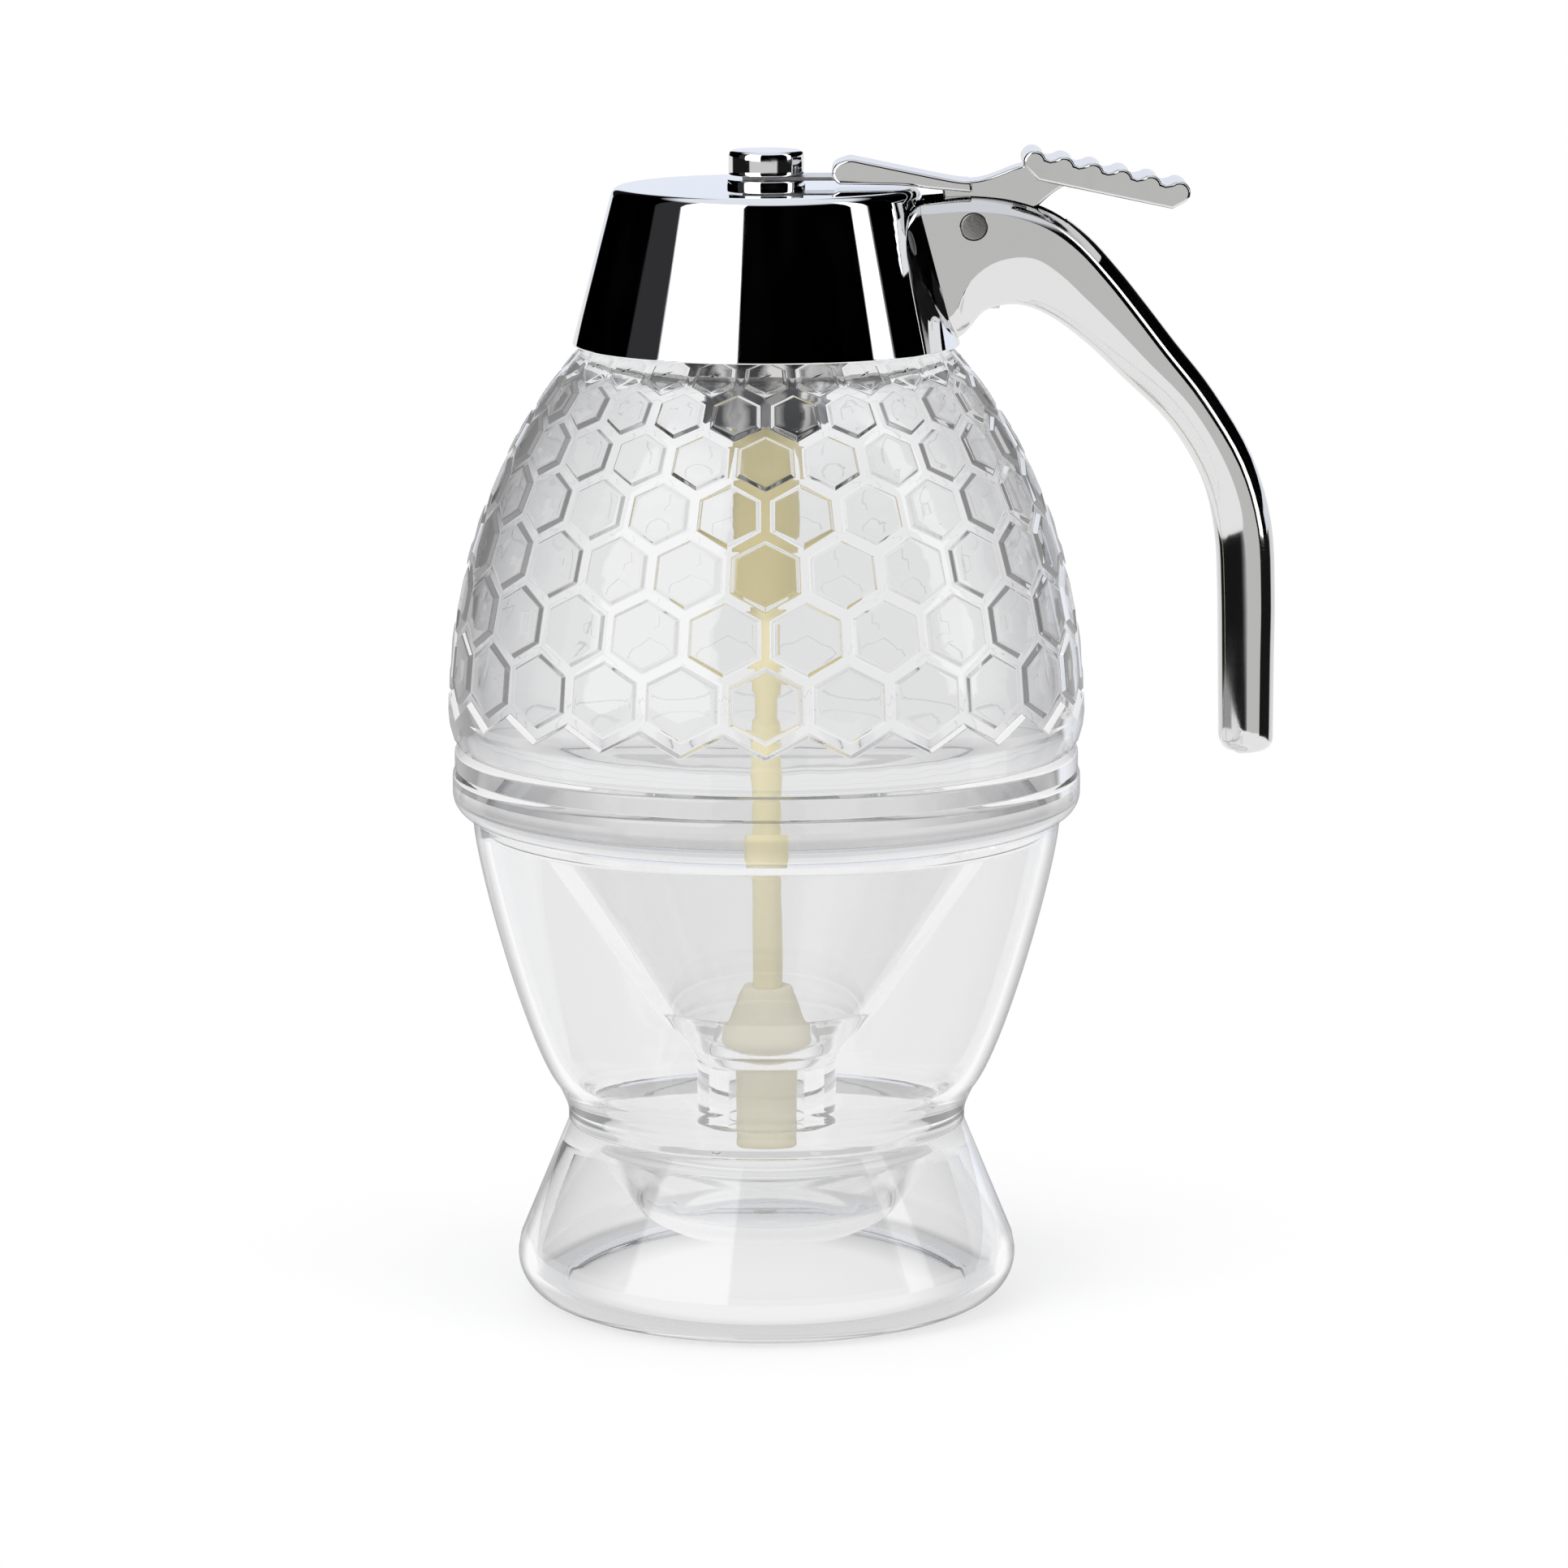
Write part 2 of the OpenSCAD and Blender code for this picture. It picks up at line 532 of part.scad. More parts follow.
module handle_body() {
    steps = 3;
    outer = [for (s = handle_stations) s[0]];
    inner = [for (s = handle_stations) s[1]];
    edge = [for (s = handle_stations) s[2]];
    last = (len(handle_stations) - 1) * steps;
    // two more sections round the tip off
    rings = concat([for (i = [0:last]) [i / steps, 0, 0]],
                   [[len(handle_stations) - 1, 0.45, 1.1], [len(handle_stations) - 1, 1.6, 1.6]]);
    function section(q) = let (
        o = through(outer, q[0]), i = through(inner, q[0]), len_s = norm(i - o), dir = (i - o) / len_s,
        half = handle_half(len_s - 2 * q[1], len_s * through(edge, q[0]) - q[1], handle_w / 2 - q[1]),
        full = concat(half, [for (k = [len(half) - 1:-1:1]) [half[k][0], -half[k][1]]]))
        [for (p = full) let (at = o + dir * (p[0] + q[1])) [lid_top_r + at[0], p[1], top_z + at[1] - q[2]]];
    n = len(section(rings[0]));
    points = [for (q = rings) each section(q)];
    sides = [for (k = [0:len(rings) - 2]) for (i = [0:n - 1]) let (a = k * n, b = a + n, j = (i + 1) % n)
        each [[a + i, b + j, b + i], [a + i, a + j, b + j]]];
    polyhedron(points, concat([[for (i = [n - 1:-1:0]) i]],
                              sides, [[for (i = [0:n - 1]) (len(rings) - 1) * n + i]]), convexity = 6);
}

module handle() {
    color([0.8, 0.81, 0.83])
        difference() {
            handle_body();
            translate([0, 0, lid_z - lid_h])
                cylinder(h = 3 * lid_h, r1 = lid_at(lid_z - lid_h), r2 = lid_at(lid_z + 2 * lid_h), $fn = 128);
            translate([0, -slot_w / 2, pin_z - hub_r - 0.3])
                cube([pin_x + slot_len, slot_w, lid_h]);
            translate([pin_x, handle_w / 2 + cut, pin_z])
                rotate([90, 0, 0]) cylinder(h = handle_w + 2 * cut, r = pin_r, $fn = 48);
            handle_screw_bores(screw_r);
        }
}

module handle_screws() {
    color([0.6, 0.6, 0.62])
        for (i = [0, 1]) {
            z = top_z - screw_drop - i * screw_pitch;
            head_x = lid_at(z - screw_r) - lid_wall - 2.5;
            translate([head_x, 0, z])
                rotate([0, 90, 0]) {
                    cylinder(h = 1.6, r = 1.75, $fn = 32);
                    cylinder(h = screw_len + 2.5, r = screw_r - 0.02, $fn = 32);
                }
        }
}

module pivot_pin() {
    color([0.55, 0.54, 0.52])
        translate([pin_x, handle_w / 2, pin_z])
            rotate([90, 0, 0]) cylinder(h = handle_w, r = pin_r, $fn = 48);
}

// ---------------------------------------------------------------- lever

// a prism of width w across the lever, from its outline in x and z
module across(w) {
    translate([0, w / 2, 0]) rotate([90, 0, 0]) linear_extrude(height = w) children();
}

pad_start = [lid_top_r + pad_ahead, top_z + pad_rise];       // centre of the first thumb ridge
pad_end = pad_start + (bump_count - 1) * bump_pitch * [cos(pad_slope), -sin(pad_slope)];

module lever() {
    nose = [lid_top_r - nose_back, top_z];
    dip = [pin_x - 1.25 * pin_r, top_z + dip_h];          // lowest place of the upper side
    pad_dir = [cos(pad_slope), -sin(pad_slope)];
    pad_down = [-sin(pad_slope), -cos(pad_slope)];
    stem_top = [pin_x - 0.1 * pin_r, dip[1]];
    under_pad = pad_start + 1.55 * bump_pitch * pad_dir + 0.65 * pad_t * pad_down;
    stem_back = [pin_x + 2.6 * hub_r, pin_z + 0.8 * hub_r];
    color([0.84, 0.85, 0.87])
        difference() {
            union() {
                across(nose_w)
                    polygon(concat(arc(nose + [nose_round, nose_h / 2], nose_round, 250, 115, 6),
                                   [nose + [1.3 * nose_round, nose_h - 0.1 * nose_round],
                                    nose + [2 * nose_round, nose_h - 0.12 * nose_round],
                                    dip, stem_top, [stem_top[0], top_z - 0.6 * dip_h],
                                    [lid_top_r + nose_round, top_z - 0.1 * dip_h],
                                    [lid_top_r - nose_round, top_z + 0.4 * dip_h]]));
                across(stem_w)
                    polygon(concat([[pin_x - 1.25 * hub_r, top_z + 0.2 * dip_h], dip],
                                   curve(stem_top, [pin_x + 0.75 * hub_r, top_z + 1.1 * dip_h],
                                         [pin_x + 1.3 * hub_r, top_z + 0.7 * pad_rise],
                                         pad_start - bump_r * [0.83, 0.41], 8),
                                   curve(under_pad, pad_start + [0.22 * pad_ahead, -1.5 * pad_t],
                                         pad_start + [0.12 * pad_ahead, -2.1 * pad_t], stem_back, 6),
                                   arc([pin_x, pin_z], hub_r, -20, -160, 12)));
                across(pad_w)
                    union() {
                        for (i = [0:bump_count - 1])
                            translate(pad_start + i * bump_pitch * pad_dir) circle(r = bump_r, $fn = 24);
                        polygon([pad_start - 0.25 * pad_t * pad_down - 0.4 * bump_r * pad_dir,
                                 pad_start + pad_t * pad_down + 0.6 * bump_r * pad_dir,
                                 pad_end + pad_t * pad_down - 0.3 * bump_r * pad_dir,
                                 pad_end + 0.5 * pad_t * pad_down + 0.6 * bump_r * pad_dir,
                                 pad_end - 0.25 * pad_t * pad_down + 0.4 * bump_r * pad_dir]);
                    }
            }
            translate([pin_x, stem_w, pin_z])
                rotate([90, 0, 0]) cylinder(h = 2 * stem_w, r = pin_r + pin_gap, $fn = 48);
            translate([0, -fork_w / 2, fork_z]) cube([fork_end, fork_w, fork_t]);
        }
}

module lift_fork() {
    slot_r = rod_r + 0.2;
    color([0.7, 0.7, 0.72])
        translate([0, 0, fork_z])
            linear_extrude(height = fork_t)
                difference() {
                    translate([-fork_back, -fork_w / 2]) square([fork_end + fork_back, fork_w]);
                    circle(r = slot_r, $fn = 48);
                    translate([-fork_back - cut, -slot_r]) square([fork_back + cut, 2 * slot_r]);
                }
}

// ---------------------------------------------------------------- valve

module knob() {
    color([0.86, 0.87, 0.9])
        rotate_extrude()
            polygon([[0, knob_z - 2 - stud_h], [stud_r, knob_z - 2 - stud_h], [stud_r, knob_z - 2],
                     [rod_r, knob_z - 2], [rod_r, knob_z], [knob_r - 0.25, knob_z], [knob_r, knob_z + 0.25],
                     [knob_r, knob_z + knob_h - 0.5], [knob_r - 0.15, knob_z + knob_h - 0.15],
                     [knob_r - 0.5, knob_z + knob_h], [0, knob_z + knob_h]]);
}

module valve_rod() {
    top = knob_z - 2;
    color([0.9, 0.87, 0.72])
        rotate_extrude()
            polygon([[0, rod_foot_z], [rod_r, rod_foot_z],
                     [rod_r, washer_z - clip_t], [clip_groove_r, washer_z - clip_t],
                     [clip_groove_r, washer_z], [rod_r, washer_z],
                     [rod_r, top], [stud_r, top], [stud_r, top - stud_h], [0, top - stud_h]]);
}

module spring_washer() {
    color([0.7, 0.7, 0.72])
        translate([0, 0, washer_z])
            difference() {
                cylinder(h = washer_t, r = spring_r + wire_d / 2 + 0.8);
                translate([0, 0, -cut]) cylinder(h = washer_t + 2 * cut, r = rod_r);
            }
}

module rod_clip() {
    color([0.5, 0.5, 0.52])
        translate([0, 0, washer_z - clip_t])
            difference() {
                cylinder(h = clip_t, r = rod_r + 1.4);
                translate([0, 0, -cut]) cylinder(h = clip_t + 2 * cut, r = clip_groove_r);
                translate([0, -clip_groove_r * 0.8, -cut])
                    cube([rod_r + 2, clip_groove_r * 1.6, clip_t + 2 * cut]);
            }
}

module stopper() {
    low = outlet_z - tip_drop;
    top = cone_z + stopper_h;
    wide = seat_z + 0.6 + seat_gap;
    color([0.92, 0.9, 0.8])
        rotate_extrude()
            polygon(concat([[0, low], [tip_r - 0.9, low]],
                           arc([tip_r - 0.9, low + 0.9], 0.9, -90, 0, 4),
                           [[tip_r, seat_z - 1.2], [stopper_r - 0.2, wide], [stopper_r, wide + 0.9]],
                           curve([stopper_r - 0.3, wide + 1.8], [stopper_r - 1.2, wide + 3.4],
                                 [rod_r + 2.4, top - 2.6], [rod_r + 1.4, top], 6),
                           [[rod_r, top], [rod_r, rod_foot_z], [0, rod_foot_z]]));
}

spring_low = washer_z + washer_t;
spring_high = bush_under_z;

// the wire's section at turn t of the spring
function wire_ring(t) = let (
    turns = spring_coils, a = 360 * t,
    rise = (spring_high - spring_low - wire_d) / turns, z = spring_low + wire_d / 2 + rise * t)
    [for (k = [0:5]) let (b = 60 * k + 30, r = spring_r + wire_d / 2 * cos(b))
        [r * cos(a), r * sin(a), z + wire_d / 2 * sin(b)]];

module return_spring() {
    per_turn = 8;
    n = spring_coils * per_turn;
    points = [for (i = [0:n]) each wire_ring(i / per_turn)];
    sides = [for (i = [0:n - 1]) for (k = [0:5]) let (a = 6 * i, b = a + 6, j = (k + 1) % 6)
        each [[a + k, b + j, b + k], [a + k, a + j, b + j]]];
    color([0.7, 0.7, 0.72])
        polyhedron(points, concat([[5, 4, 3, 2, 1, 0]], sides, [[for (k = [0:5]) 6 * n + k]]), convexity = 10);
}

stand_bowl();
stand_foot();
funnel();
jar_dome();
jar_neck();
lid_gasket();
lid_shell();
screw_ring();
rod_bush();
spring_tube();
guide_sleeve();
handle();
handle_screws();
pivot_pin();
lever();
lift_fork();
knob();
valve_rod();
spring_washer();
rod_clip();
stopper();
return_spring();
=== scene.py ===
import math

import bmesh
import bpy
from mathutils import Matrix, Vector


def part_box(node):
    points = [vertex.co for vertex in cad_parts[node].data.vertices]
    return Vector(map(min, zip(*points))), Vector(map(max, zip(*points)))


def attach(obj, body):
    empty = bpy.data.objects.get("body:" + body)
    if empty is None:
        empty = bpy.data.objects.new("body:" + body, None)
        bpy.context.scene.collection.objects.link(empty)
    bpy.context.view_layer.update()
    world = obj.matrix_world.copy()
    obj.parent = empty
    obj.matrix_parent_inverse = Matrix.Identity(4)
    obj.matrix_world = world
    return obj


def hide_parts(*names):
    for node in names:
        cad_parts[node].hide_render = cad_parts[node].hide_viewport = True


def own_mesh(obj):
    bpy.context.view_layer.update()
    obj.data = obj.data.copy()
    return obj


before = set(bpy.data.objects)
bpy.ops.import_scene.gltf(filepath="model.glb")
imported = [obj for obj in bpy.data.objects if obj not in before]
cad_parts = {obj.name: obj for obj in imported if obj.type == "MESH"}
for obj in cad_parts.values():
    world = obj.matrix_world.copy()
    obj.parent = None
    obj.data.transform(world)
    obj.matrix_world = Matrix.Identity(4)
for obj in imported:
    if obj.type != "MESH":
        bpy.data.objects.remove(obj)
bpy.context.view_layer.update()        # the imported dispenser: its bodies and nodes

mm = 0.001  # sizes below are in millimetres, and this makes them metres
print("frame loaded,", len(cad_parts), "nodes")


def lowest(node):
    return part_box(node)[0].z / mm


def highest(node):
    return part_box(node)[1].z / mm


def reach(node):
    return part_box(node)[1].x / mm


def pinPlace():
    # across and up to the pin's middle, its radius and its length
    low, high = (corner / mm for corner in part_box("pivot_pin"))
    return (low.x + high.x) / 2, (low.z + high.z) / 2, (high.x - low.x) / 2, high.y - low.y


partGap = 0.05  # air left between two pieces that touch
# heights that the pieces share, all read from the frame
level = dict(
    waist=highest("stand_foot"),
    rim=highest("stand_bowl"),
    flange=highest("funnel"),
    neckTop=lowest("lid_gasket"),
    outlet=lowest("funnel"),
    lidMouth=lowest("lid_shell"),
    lidTop=highest("lid_shell"),
    lidUnder=highest("screw_ring"),
    groove=highest("rod_bush"),
    knob=highest("lift_fork") + partGap,
    tubeLow=lowest("spring_tube"),
    washer=lowest("spring_washer"),
)


def mix(a, b, t):
    return a + (b - a) * t


def bezier(a, b, c, d, steps):
    points = []
    for i in range(steps + 1):
        t = i / steps
        k = ((1 - t) ** 3, 3 * t * (1 - t) ** 2, 3 * t * t * (1 - t), t ** 3)
        points.append(tuple(k[0] * p + k[1] * q + k[2] * r + k[3] * s for p, q, r, s in zip(a, b, c, d)))
    return points


def arc(centre, radius, start, end, steps):
    turns = [math.radians(mix(start, end, i / steps)) for i in range(steps + 1)]
    return [(centre[0] + radius * math.cos(a), centre[1] + radius * math.sin(a)) for a in turns]


def softened(corners, closed=True, steps=3):
    # a corner is (across, up) or (across, up, rounding)
    points, count = [], len(corners)
    for i, corner in enumerate(corners):
        here = Vector(corner[:2])
        if len(corner) < 3 or (not closed and i in (0, count - 1)):
            points.append(tuple(here))
            continue
        back = Vector(corners[i - 1][:2]) - here
        onward = Vector(corners[(i + 1) % count][:2]) - here
        reachBack = min(corner[2], back.length * 0.48)
        reachOn = min(corner[2], onward.length * 0.48)
        a = here + back.normalized() * reachBack
        b = here + onward.normalized() * reachOn
        for k in range(steps + 1):
            t = k / steps
            points.append(tuple(a * (1 - t) ** 2 + here * 2 * t * (1 - t) + b * t * t))
    return points


def deselectAll():
    if bpy.context.mode != "OBJECT":
        bpy.ops.object.mode_set(mode="OBJECT")
    bpy.ops.object.select_all(action="DESELECT")


def pick(piece):
    deselectAll()
    piece.select_set(True)
    bpy.context.view_layer.objects.active = piece


def smoothUpTo(piece, angle):
    pick(piece)
    bpy.ops.object.shade_smooth_by_angle(angle=math.radians(angle))
    return piece


def settle(piece, angle=35):
    # normals outwards, place into the mesh, smooth shading up to the angle
    pick(piece)
    bpy.ops.object.transform_apply(location=True, rotation=True, scale=True)
    bpy.ops.object.mode_set(mode="EDIT")
    bpy.ops.mesh.select_all(action="SELECT")
    bpy.ops.mesh.remove_doubles(threshold=0.002 * mm)
    bpy.ops.mesh.normals_make_consistent(inside=False)
    bpy.ops.object.mode_set(mode="OBJECT")
    return smoothUpTo(piece, angle)


def applyAll(piece):
    pick(piece)
    for modifier in list(piece.modifiers):
        bpy.ops.object.modifier_apply(modifier=modifier.name)


def startRing(name, corners, radius=1, z=0):
    # a circle, left in edit mode with all its corners selected
    deselectAll()
    bpy.ops.mesh.primitive_circle_add(vertices=corners, radius=radius * mm, location=(0, 0, z * mm))
    piece = bpy.context.object
    piece.name = piece.data.name = name
    bpy.ops.object.mode_set(mode="EDIT")
    bpy.ops.mesh.select_mode(type="VERT")
    bpy.ops.mesh.select_all(action="SELECT")
    return piece


def closeEnds():
    bpy.ops.mesh.select_all(action="SELECT")
    bpy.ops.mesh.fill_holes(sides=0)


def turned(name, profile, corners=96, hollow=True, angle=35):
    # a ring at the profile's first point, extruded and resized along the rest of it
    r, z = profile[0]
    piece = startRing(name, corners, r, z)
    for nextR, nextZ in profile[1:] + (profile[:1] if hollow else []):
        bpy.ops.mesh.extrude_edges_move(TRANSFORM_OT_translate={"value": (0, 0, (nextZ - z) * mm)})
        bpy.ops.transform.resize(value=(nextR / r, nextR / r, 1), center_override=(0, 0, nextZ * mm))
        r, z = nextR, nextZ
    if not hollow:
        closeEnds()
    return settle(piece, angle)


def placeSelected(points):
    # the selected corners, in their own order, go to the points
    mesh = bmesh.from_edit_mesh(bpy.context.object.data)
    corners = [v for v in mesh.verts if v.select]
    for corner, point in zip(corners, points):
        corner.co = Vector(point) * mm
    bmesh.update_edit_mesh(bpy.context.object.data)


def extrudedRings(name, rings):
    # a ring, extruded from one set of points to the next and left open at both ends
    piece = startRing(name, len(rings[0]))
    placeSelected(rings[0])
    for ring in rings[1:]:
        bpy.ops.mesh.extrude_edges_move()
        placeSelected(ring)
    return piece


def lofted(name, sections, angle=35):
    piece = extrudedRings(name, sections)
    closeEnds()
    return settle(piece, angle)


def bevelEdges(piece, width, segments, sharpest):
    edges = piece.modifiers.new("edges", "BEVEL")
    edges.width = width * mm
    edges.segments = segments
    edges.limit_method = "ANGLE"
    edges.angle_limit = math.radians(sharpest)
    applyAll(piece)


def prism(name, outline, width, edge, angle=35, sharpest=50):
    # an outline in x and z, filled, extruded across y and bevelled round both faces
    piece = startRing(name, len(outline))
    placeSelected([(x, -width / 2, z) for x, z in outline])
    bpy.ops.mesh.edge_face_add()
    bpy.ops.mesh.extrude_region_move(TRANSFORM_OT_translate={"value": (0, width * mm, 0)})
    settle(piece, angle)
    bevelEdges(piece, edge, 3, sharpest)
    return settle(piece, angle)


def selectEdges(piece, chosen):
    bpy.ops.mesh.select_mode(type="EDGE")
    bpy.ops.mesh.select_all(action="DESELECT")
    mesh = bmesh.from_edit_mesh(piece.data)
    for edge in mesh.edges:
        edge.select = chosen(edge)
    bmesh.update_edit_mesh(piece.data)


def combine(piece, other, operation):
    # a cut or a union, worked out once and kept in the mesh
    step = piece.modifiers.new(operation.lower(), "BOOLEAN")
    step.operation = operation
    step.solver = "EXACT"
    step.object = other
    applyAll(piece)
    bpy.data.objects.remove(other)
    return piece


def cutBox(piece, centre, size):
    # both in metres
    deselectAll()
    bpy.ops.mesh.primitive_cube_add(size=1, location=centre)
    bpy.ops.transform.resize(value=size)
    return combine(piece, bpy.context.object, "DIFFERENCE")


def drillForPin(piece, play, corners, length=20):
    x, z, radius = pinPlace()[:3]
    deselectAll()
    bpy.ops.mesh.primitive_cylinder_add(vertices=corners, radius=(radius + play) * mm, depth=length * mm,
                                        location=(x * mm, 0, z * mm), rotation=(math.radians(90), 0, 0))
    return combine(piece, bpy.context.object, "DIFFERENCE")


def finishPiece(piece, body, finish, slot, *nodes):
    if not piece.data.materials:
        piece.data.materials.append(finishes[finish])
    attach(piece, body)
    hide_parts(*nodes)
    print("made", piece.name, len(piece.data.polygons), "faces")
    return piece


def setInputs(node, **values):
    # a value is a number, a colour, or another node's output, which is joined to the input
    for key, value in values.items():
        socket = node.inputs[key.replace("_", " ")]
        if isinstance(value, bpy.types.NodeSocket):
            node.id_data.links.new(value, socket)
        else:
            socket.default_value = value
    return node


def newNode(tree, kind, **values):
    return setInputs(tree.nodes.new(kind), **values)


def newGroupNode(tree, group, **values):
    made = tree.nodes.new("ShaderNodeGroup")
    made.node_tree = group
    return setInputs(made, **values)


def asColour(value):
    # a colour may be given as one number, which is a grey
    if isinstance(value, (int, float)):
        return value, value, value, 1
    return (*value, 1) if isinstance(value, tuple) else value


def addMath(tree, operation, first, second=None):
    made = tree.nodes.new("ShaderNodeMath")
    made.operation = operation
    for socket, value in zip(made.inputs, (first, second)):
        if isinstance(value, (int, float)):
            socket.default_value = value
        elif value is not None:
            tree.links.new(value, socket)
    return made.outputs[0]


def addMix(tree, factor, a, b):
    made = tree.nodes.new("ShaderNodeMix")
    made.data_type = "RGBA"
    return setInputs(made, Factor=factor, A=asColour(a), B=asColour(b)).outputs["Result"]


def addRamp(tree, value, stops):
    ramp = tree.nodes.new("ShaderNodeValToRGB")
    tree.links.new(value, ramp.inputs["Fac"])
    marks = ramp.color_ramp.elements
    while len(marks) < len(stops):
        marks.new(0.5)
    # a mark that moves can change its place in the list, so all are placed before they are coloured
    for mark, (position, colour) in zip(marks, stops):
        mark.position = position
    for mark, (position, colour) in zip(marks, stops):
        mark.color = asColour(colour)
    return ramp.outputs["Color"]


def blendShaders(tree, factor, first, second):
    # the two shaders, blended into the material's surface
    blend = tree.nodes.new("ShaderNodeMixShader")
    tree.links.new(factor, blend.inputs["Fac"])
    tree.links.new(first, blend.inputs[1])
    tree.links.new(second, blend.inputs[2])
    tree.links.new(blend.outputs["Shader"], tree.nodes["Material Output"].inputs["Surface"])


def newGroup(name, inputs, outputs):
    group = bpy.data.node_groups.new(name, "ShaderNodeTree")
    for label, value in inputs.items():
        kind = "NodeSocketVector" if value is None else "NodeSocketFloat"
        socket = group.interface.new_socket(label, in_out="INPUT", socket_type=kind)
        if value is not None:
            socket.default_value = value
    for label in outputs:
        group.interface.new_socket(label, in_out="OUTPUT", socket_type="NodeSocketFloat")
    return group, group.nodes.new("NodeGroupInput"), group.nodes.new("NodeGroupOutput")


def makeMouldedGroup():
    # slow waves of a moulded or cast surface, with a fine orange peel on them
    group, given, result = newGroup(
        "mouldedSurface", {"Vector": None, "Wave Scale": 60, "Peel Scale": 900, "Peel": 0.2}, ["Height"])
    place, waveScale, peelScale, share = given.outputs[:4]
    wave = newNode(group, "ShaderNodeTexNoise", Vector=place, Scale=waveScale, Detail=1.0, Roughness=0.4)
    peel = newNode(group, "ShaderNodeTexNoise", Vector=place, Scale=peelScale, Detail=2.0, Roughness=0.5)
    peelPart = addMath(group, "MULTIPLY", peel.outputs["Fac"], share)
    setInputs(result, Height=addMath(group, "ADD", wave.outputs["Fac"], peelPart))
    return group


def makeWearGroup():
    # hairline scuffs and smudges, as a mask from 0 to 1
    group, given, result = newGroup(
        "handlingWear", {"Vector": None, "Smudge Scale": 35, "Scuff Scale": 260, "Amount": 1.0}, ["Mask"])
    place, smudgeScale, scuffScale, amount = given.outputs[:4]
    smudge = newNode(group, "ShaderNodeTexNoise", Vector=place, Scale=smudgeScale, Detail=3.0, Roughness=0.6)
    stretch = newNode(group, "ShaderNodeMapping", Vector=place, Scale=(1, 1, 0.08), Rotation=(0.5, 0.3, 0))
    scuff = newNode(group, "ShaderNodeTexNoise", Vector=stretch.outputs["Vector"], Scale=scuffScale,
                    Detail=2.0, Roughness=0.5)
    both = addMath(group, "MULTIPLY", smudge.outputs["Fac"], scuff.outputs["Fac"])
    shaped = newNode(group, "ShaderNodeMapRange", Value=both, From_Min=0.22, From_Max=0.42)
    setInputs(result, Mask=addMath(group, "MULTIPLY", shaped.outputs["Result"], amount))
    return group


mouldedSurface = makeMouldedGroup()
handlingWear = makeWearGroup()


def makeFinish(name, colour, roughness, worn, bump, waveScale=60.0, peelScale=900.0, peel=0.2, tint=None,
               **shaderInputs):
    # one plated, moulded or machined finish: waves and peel in its bump, wear in its roughness and tint
    material = bpy.data.materials.new(name)
    material.use_nodes = True
    tree = material.node_tree
    shader = setInputs(tree.nodes["Principled BSDF"], Base_Color=asColour(colour), **shaderInputs)
    place = tree.nodes.new("ShaderNodeTexCoord").outputs["Object"]
    height = newGroupNode(tree, mouldedSurface, Vector=place, Wave_Scale=waveScale, Peel_Scale=peelScale,
                          Peel=peel).outputs["Height"]
    mask = newGroupNode(tree, handlingWear, Vector=place).outputs["Mask"]
    relief = newNode(tree, "ShaderNodeBump", Height=height, Strength=1.0, Distance=bump * mm)
    gloss = newNode(tree, "ShaderNodeMapRange", Value=mask, To_Min=roughness, To_Max=worn)
    setInputs(shader, Normal=relief.outputs["Normal"], Roughness=gloss.outputs["Result"])
    if tint:
        setInputs(shader, Base_Color=addMix(tree, mask, colour, tint))
    return material


# how light goes through the clear plastic, with painted shade on it: walls seen edge-on grey towards the
# painted edge shade, and faces that let light straight on grey by how square they face. Numbers of faces or
# bounces end in a half, between two counts
clearPath = dict(
    tintedFaces=3.5,                # the faces on light's way that tint it
    bounces=2.5,                    # light that was reflected more often goes straight on
    edgeOn=(0.72, 0.92),            # from where a wall seen edge-on starts to grey, to where it is greyest
    edgeShare=0.8,
    paintedEdgeShade=(0.62, 0.62, 0.63),
    paintedFacingShade=[(0.3, 0.97), (0.9, (0.72, 0.72, 0.73))],    # what a face lets through, from square to edge-on
    neverLost=(99.0, 99.0),
)


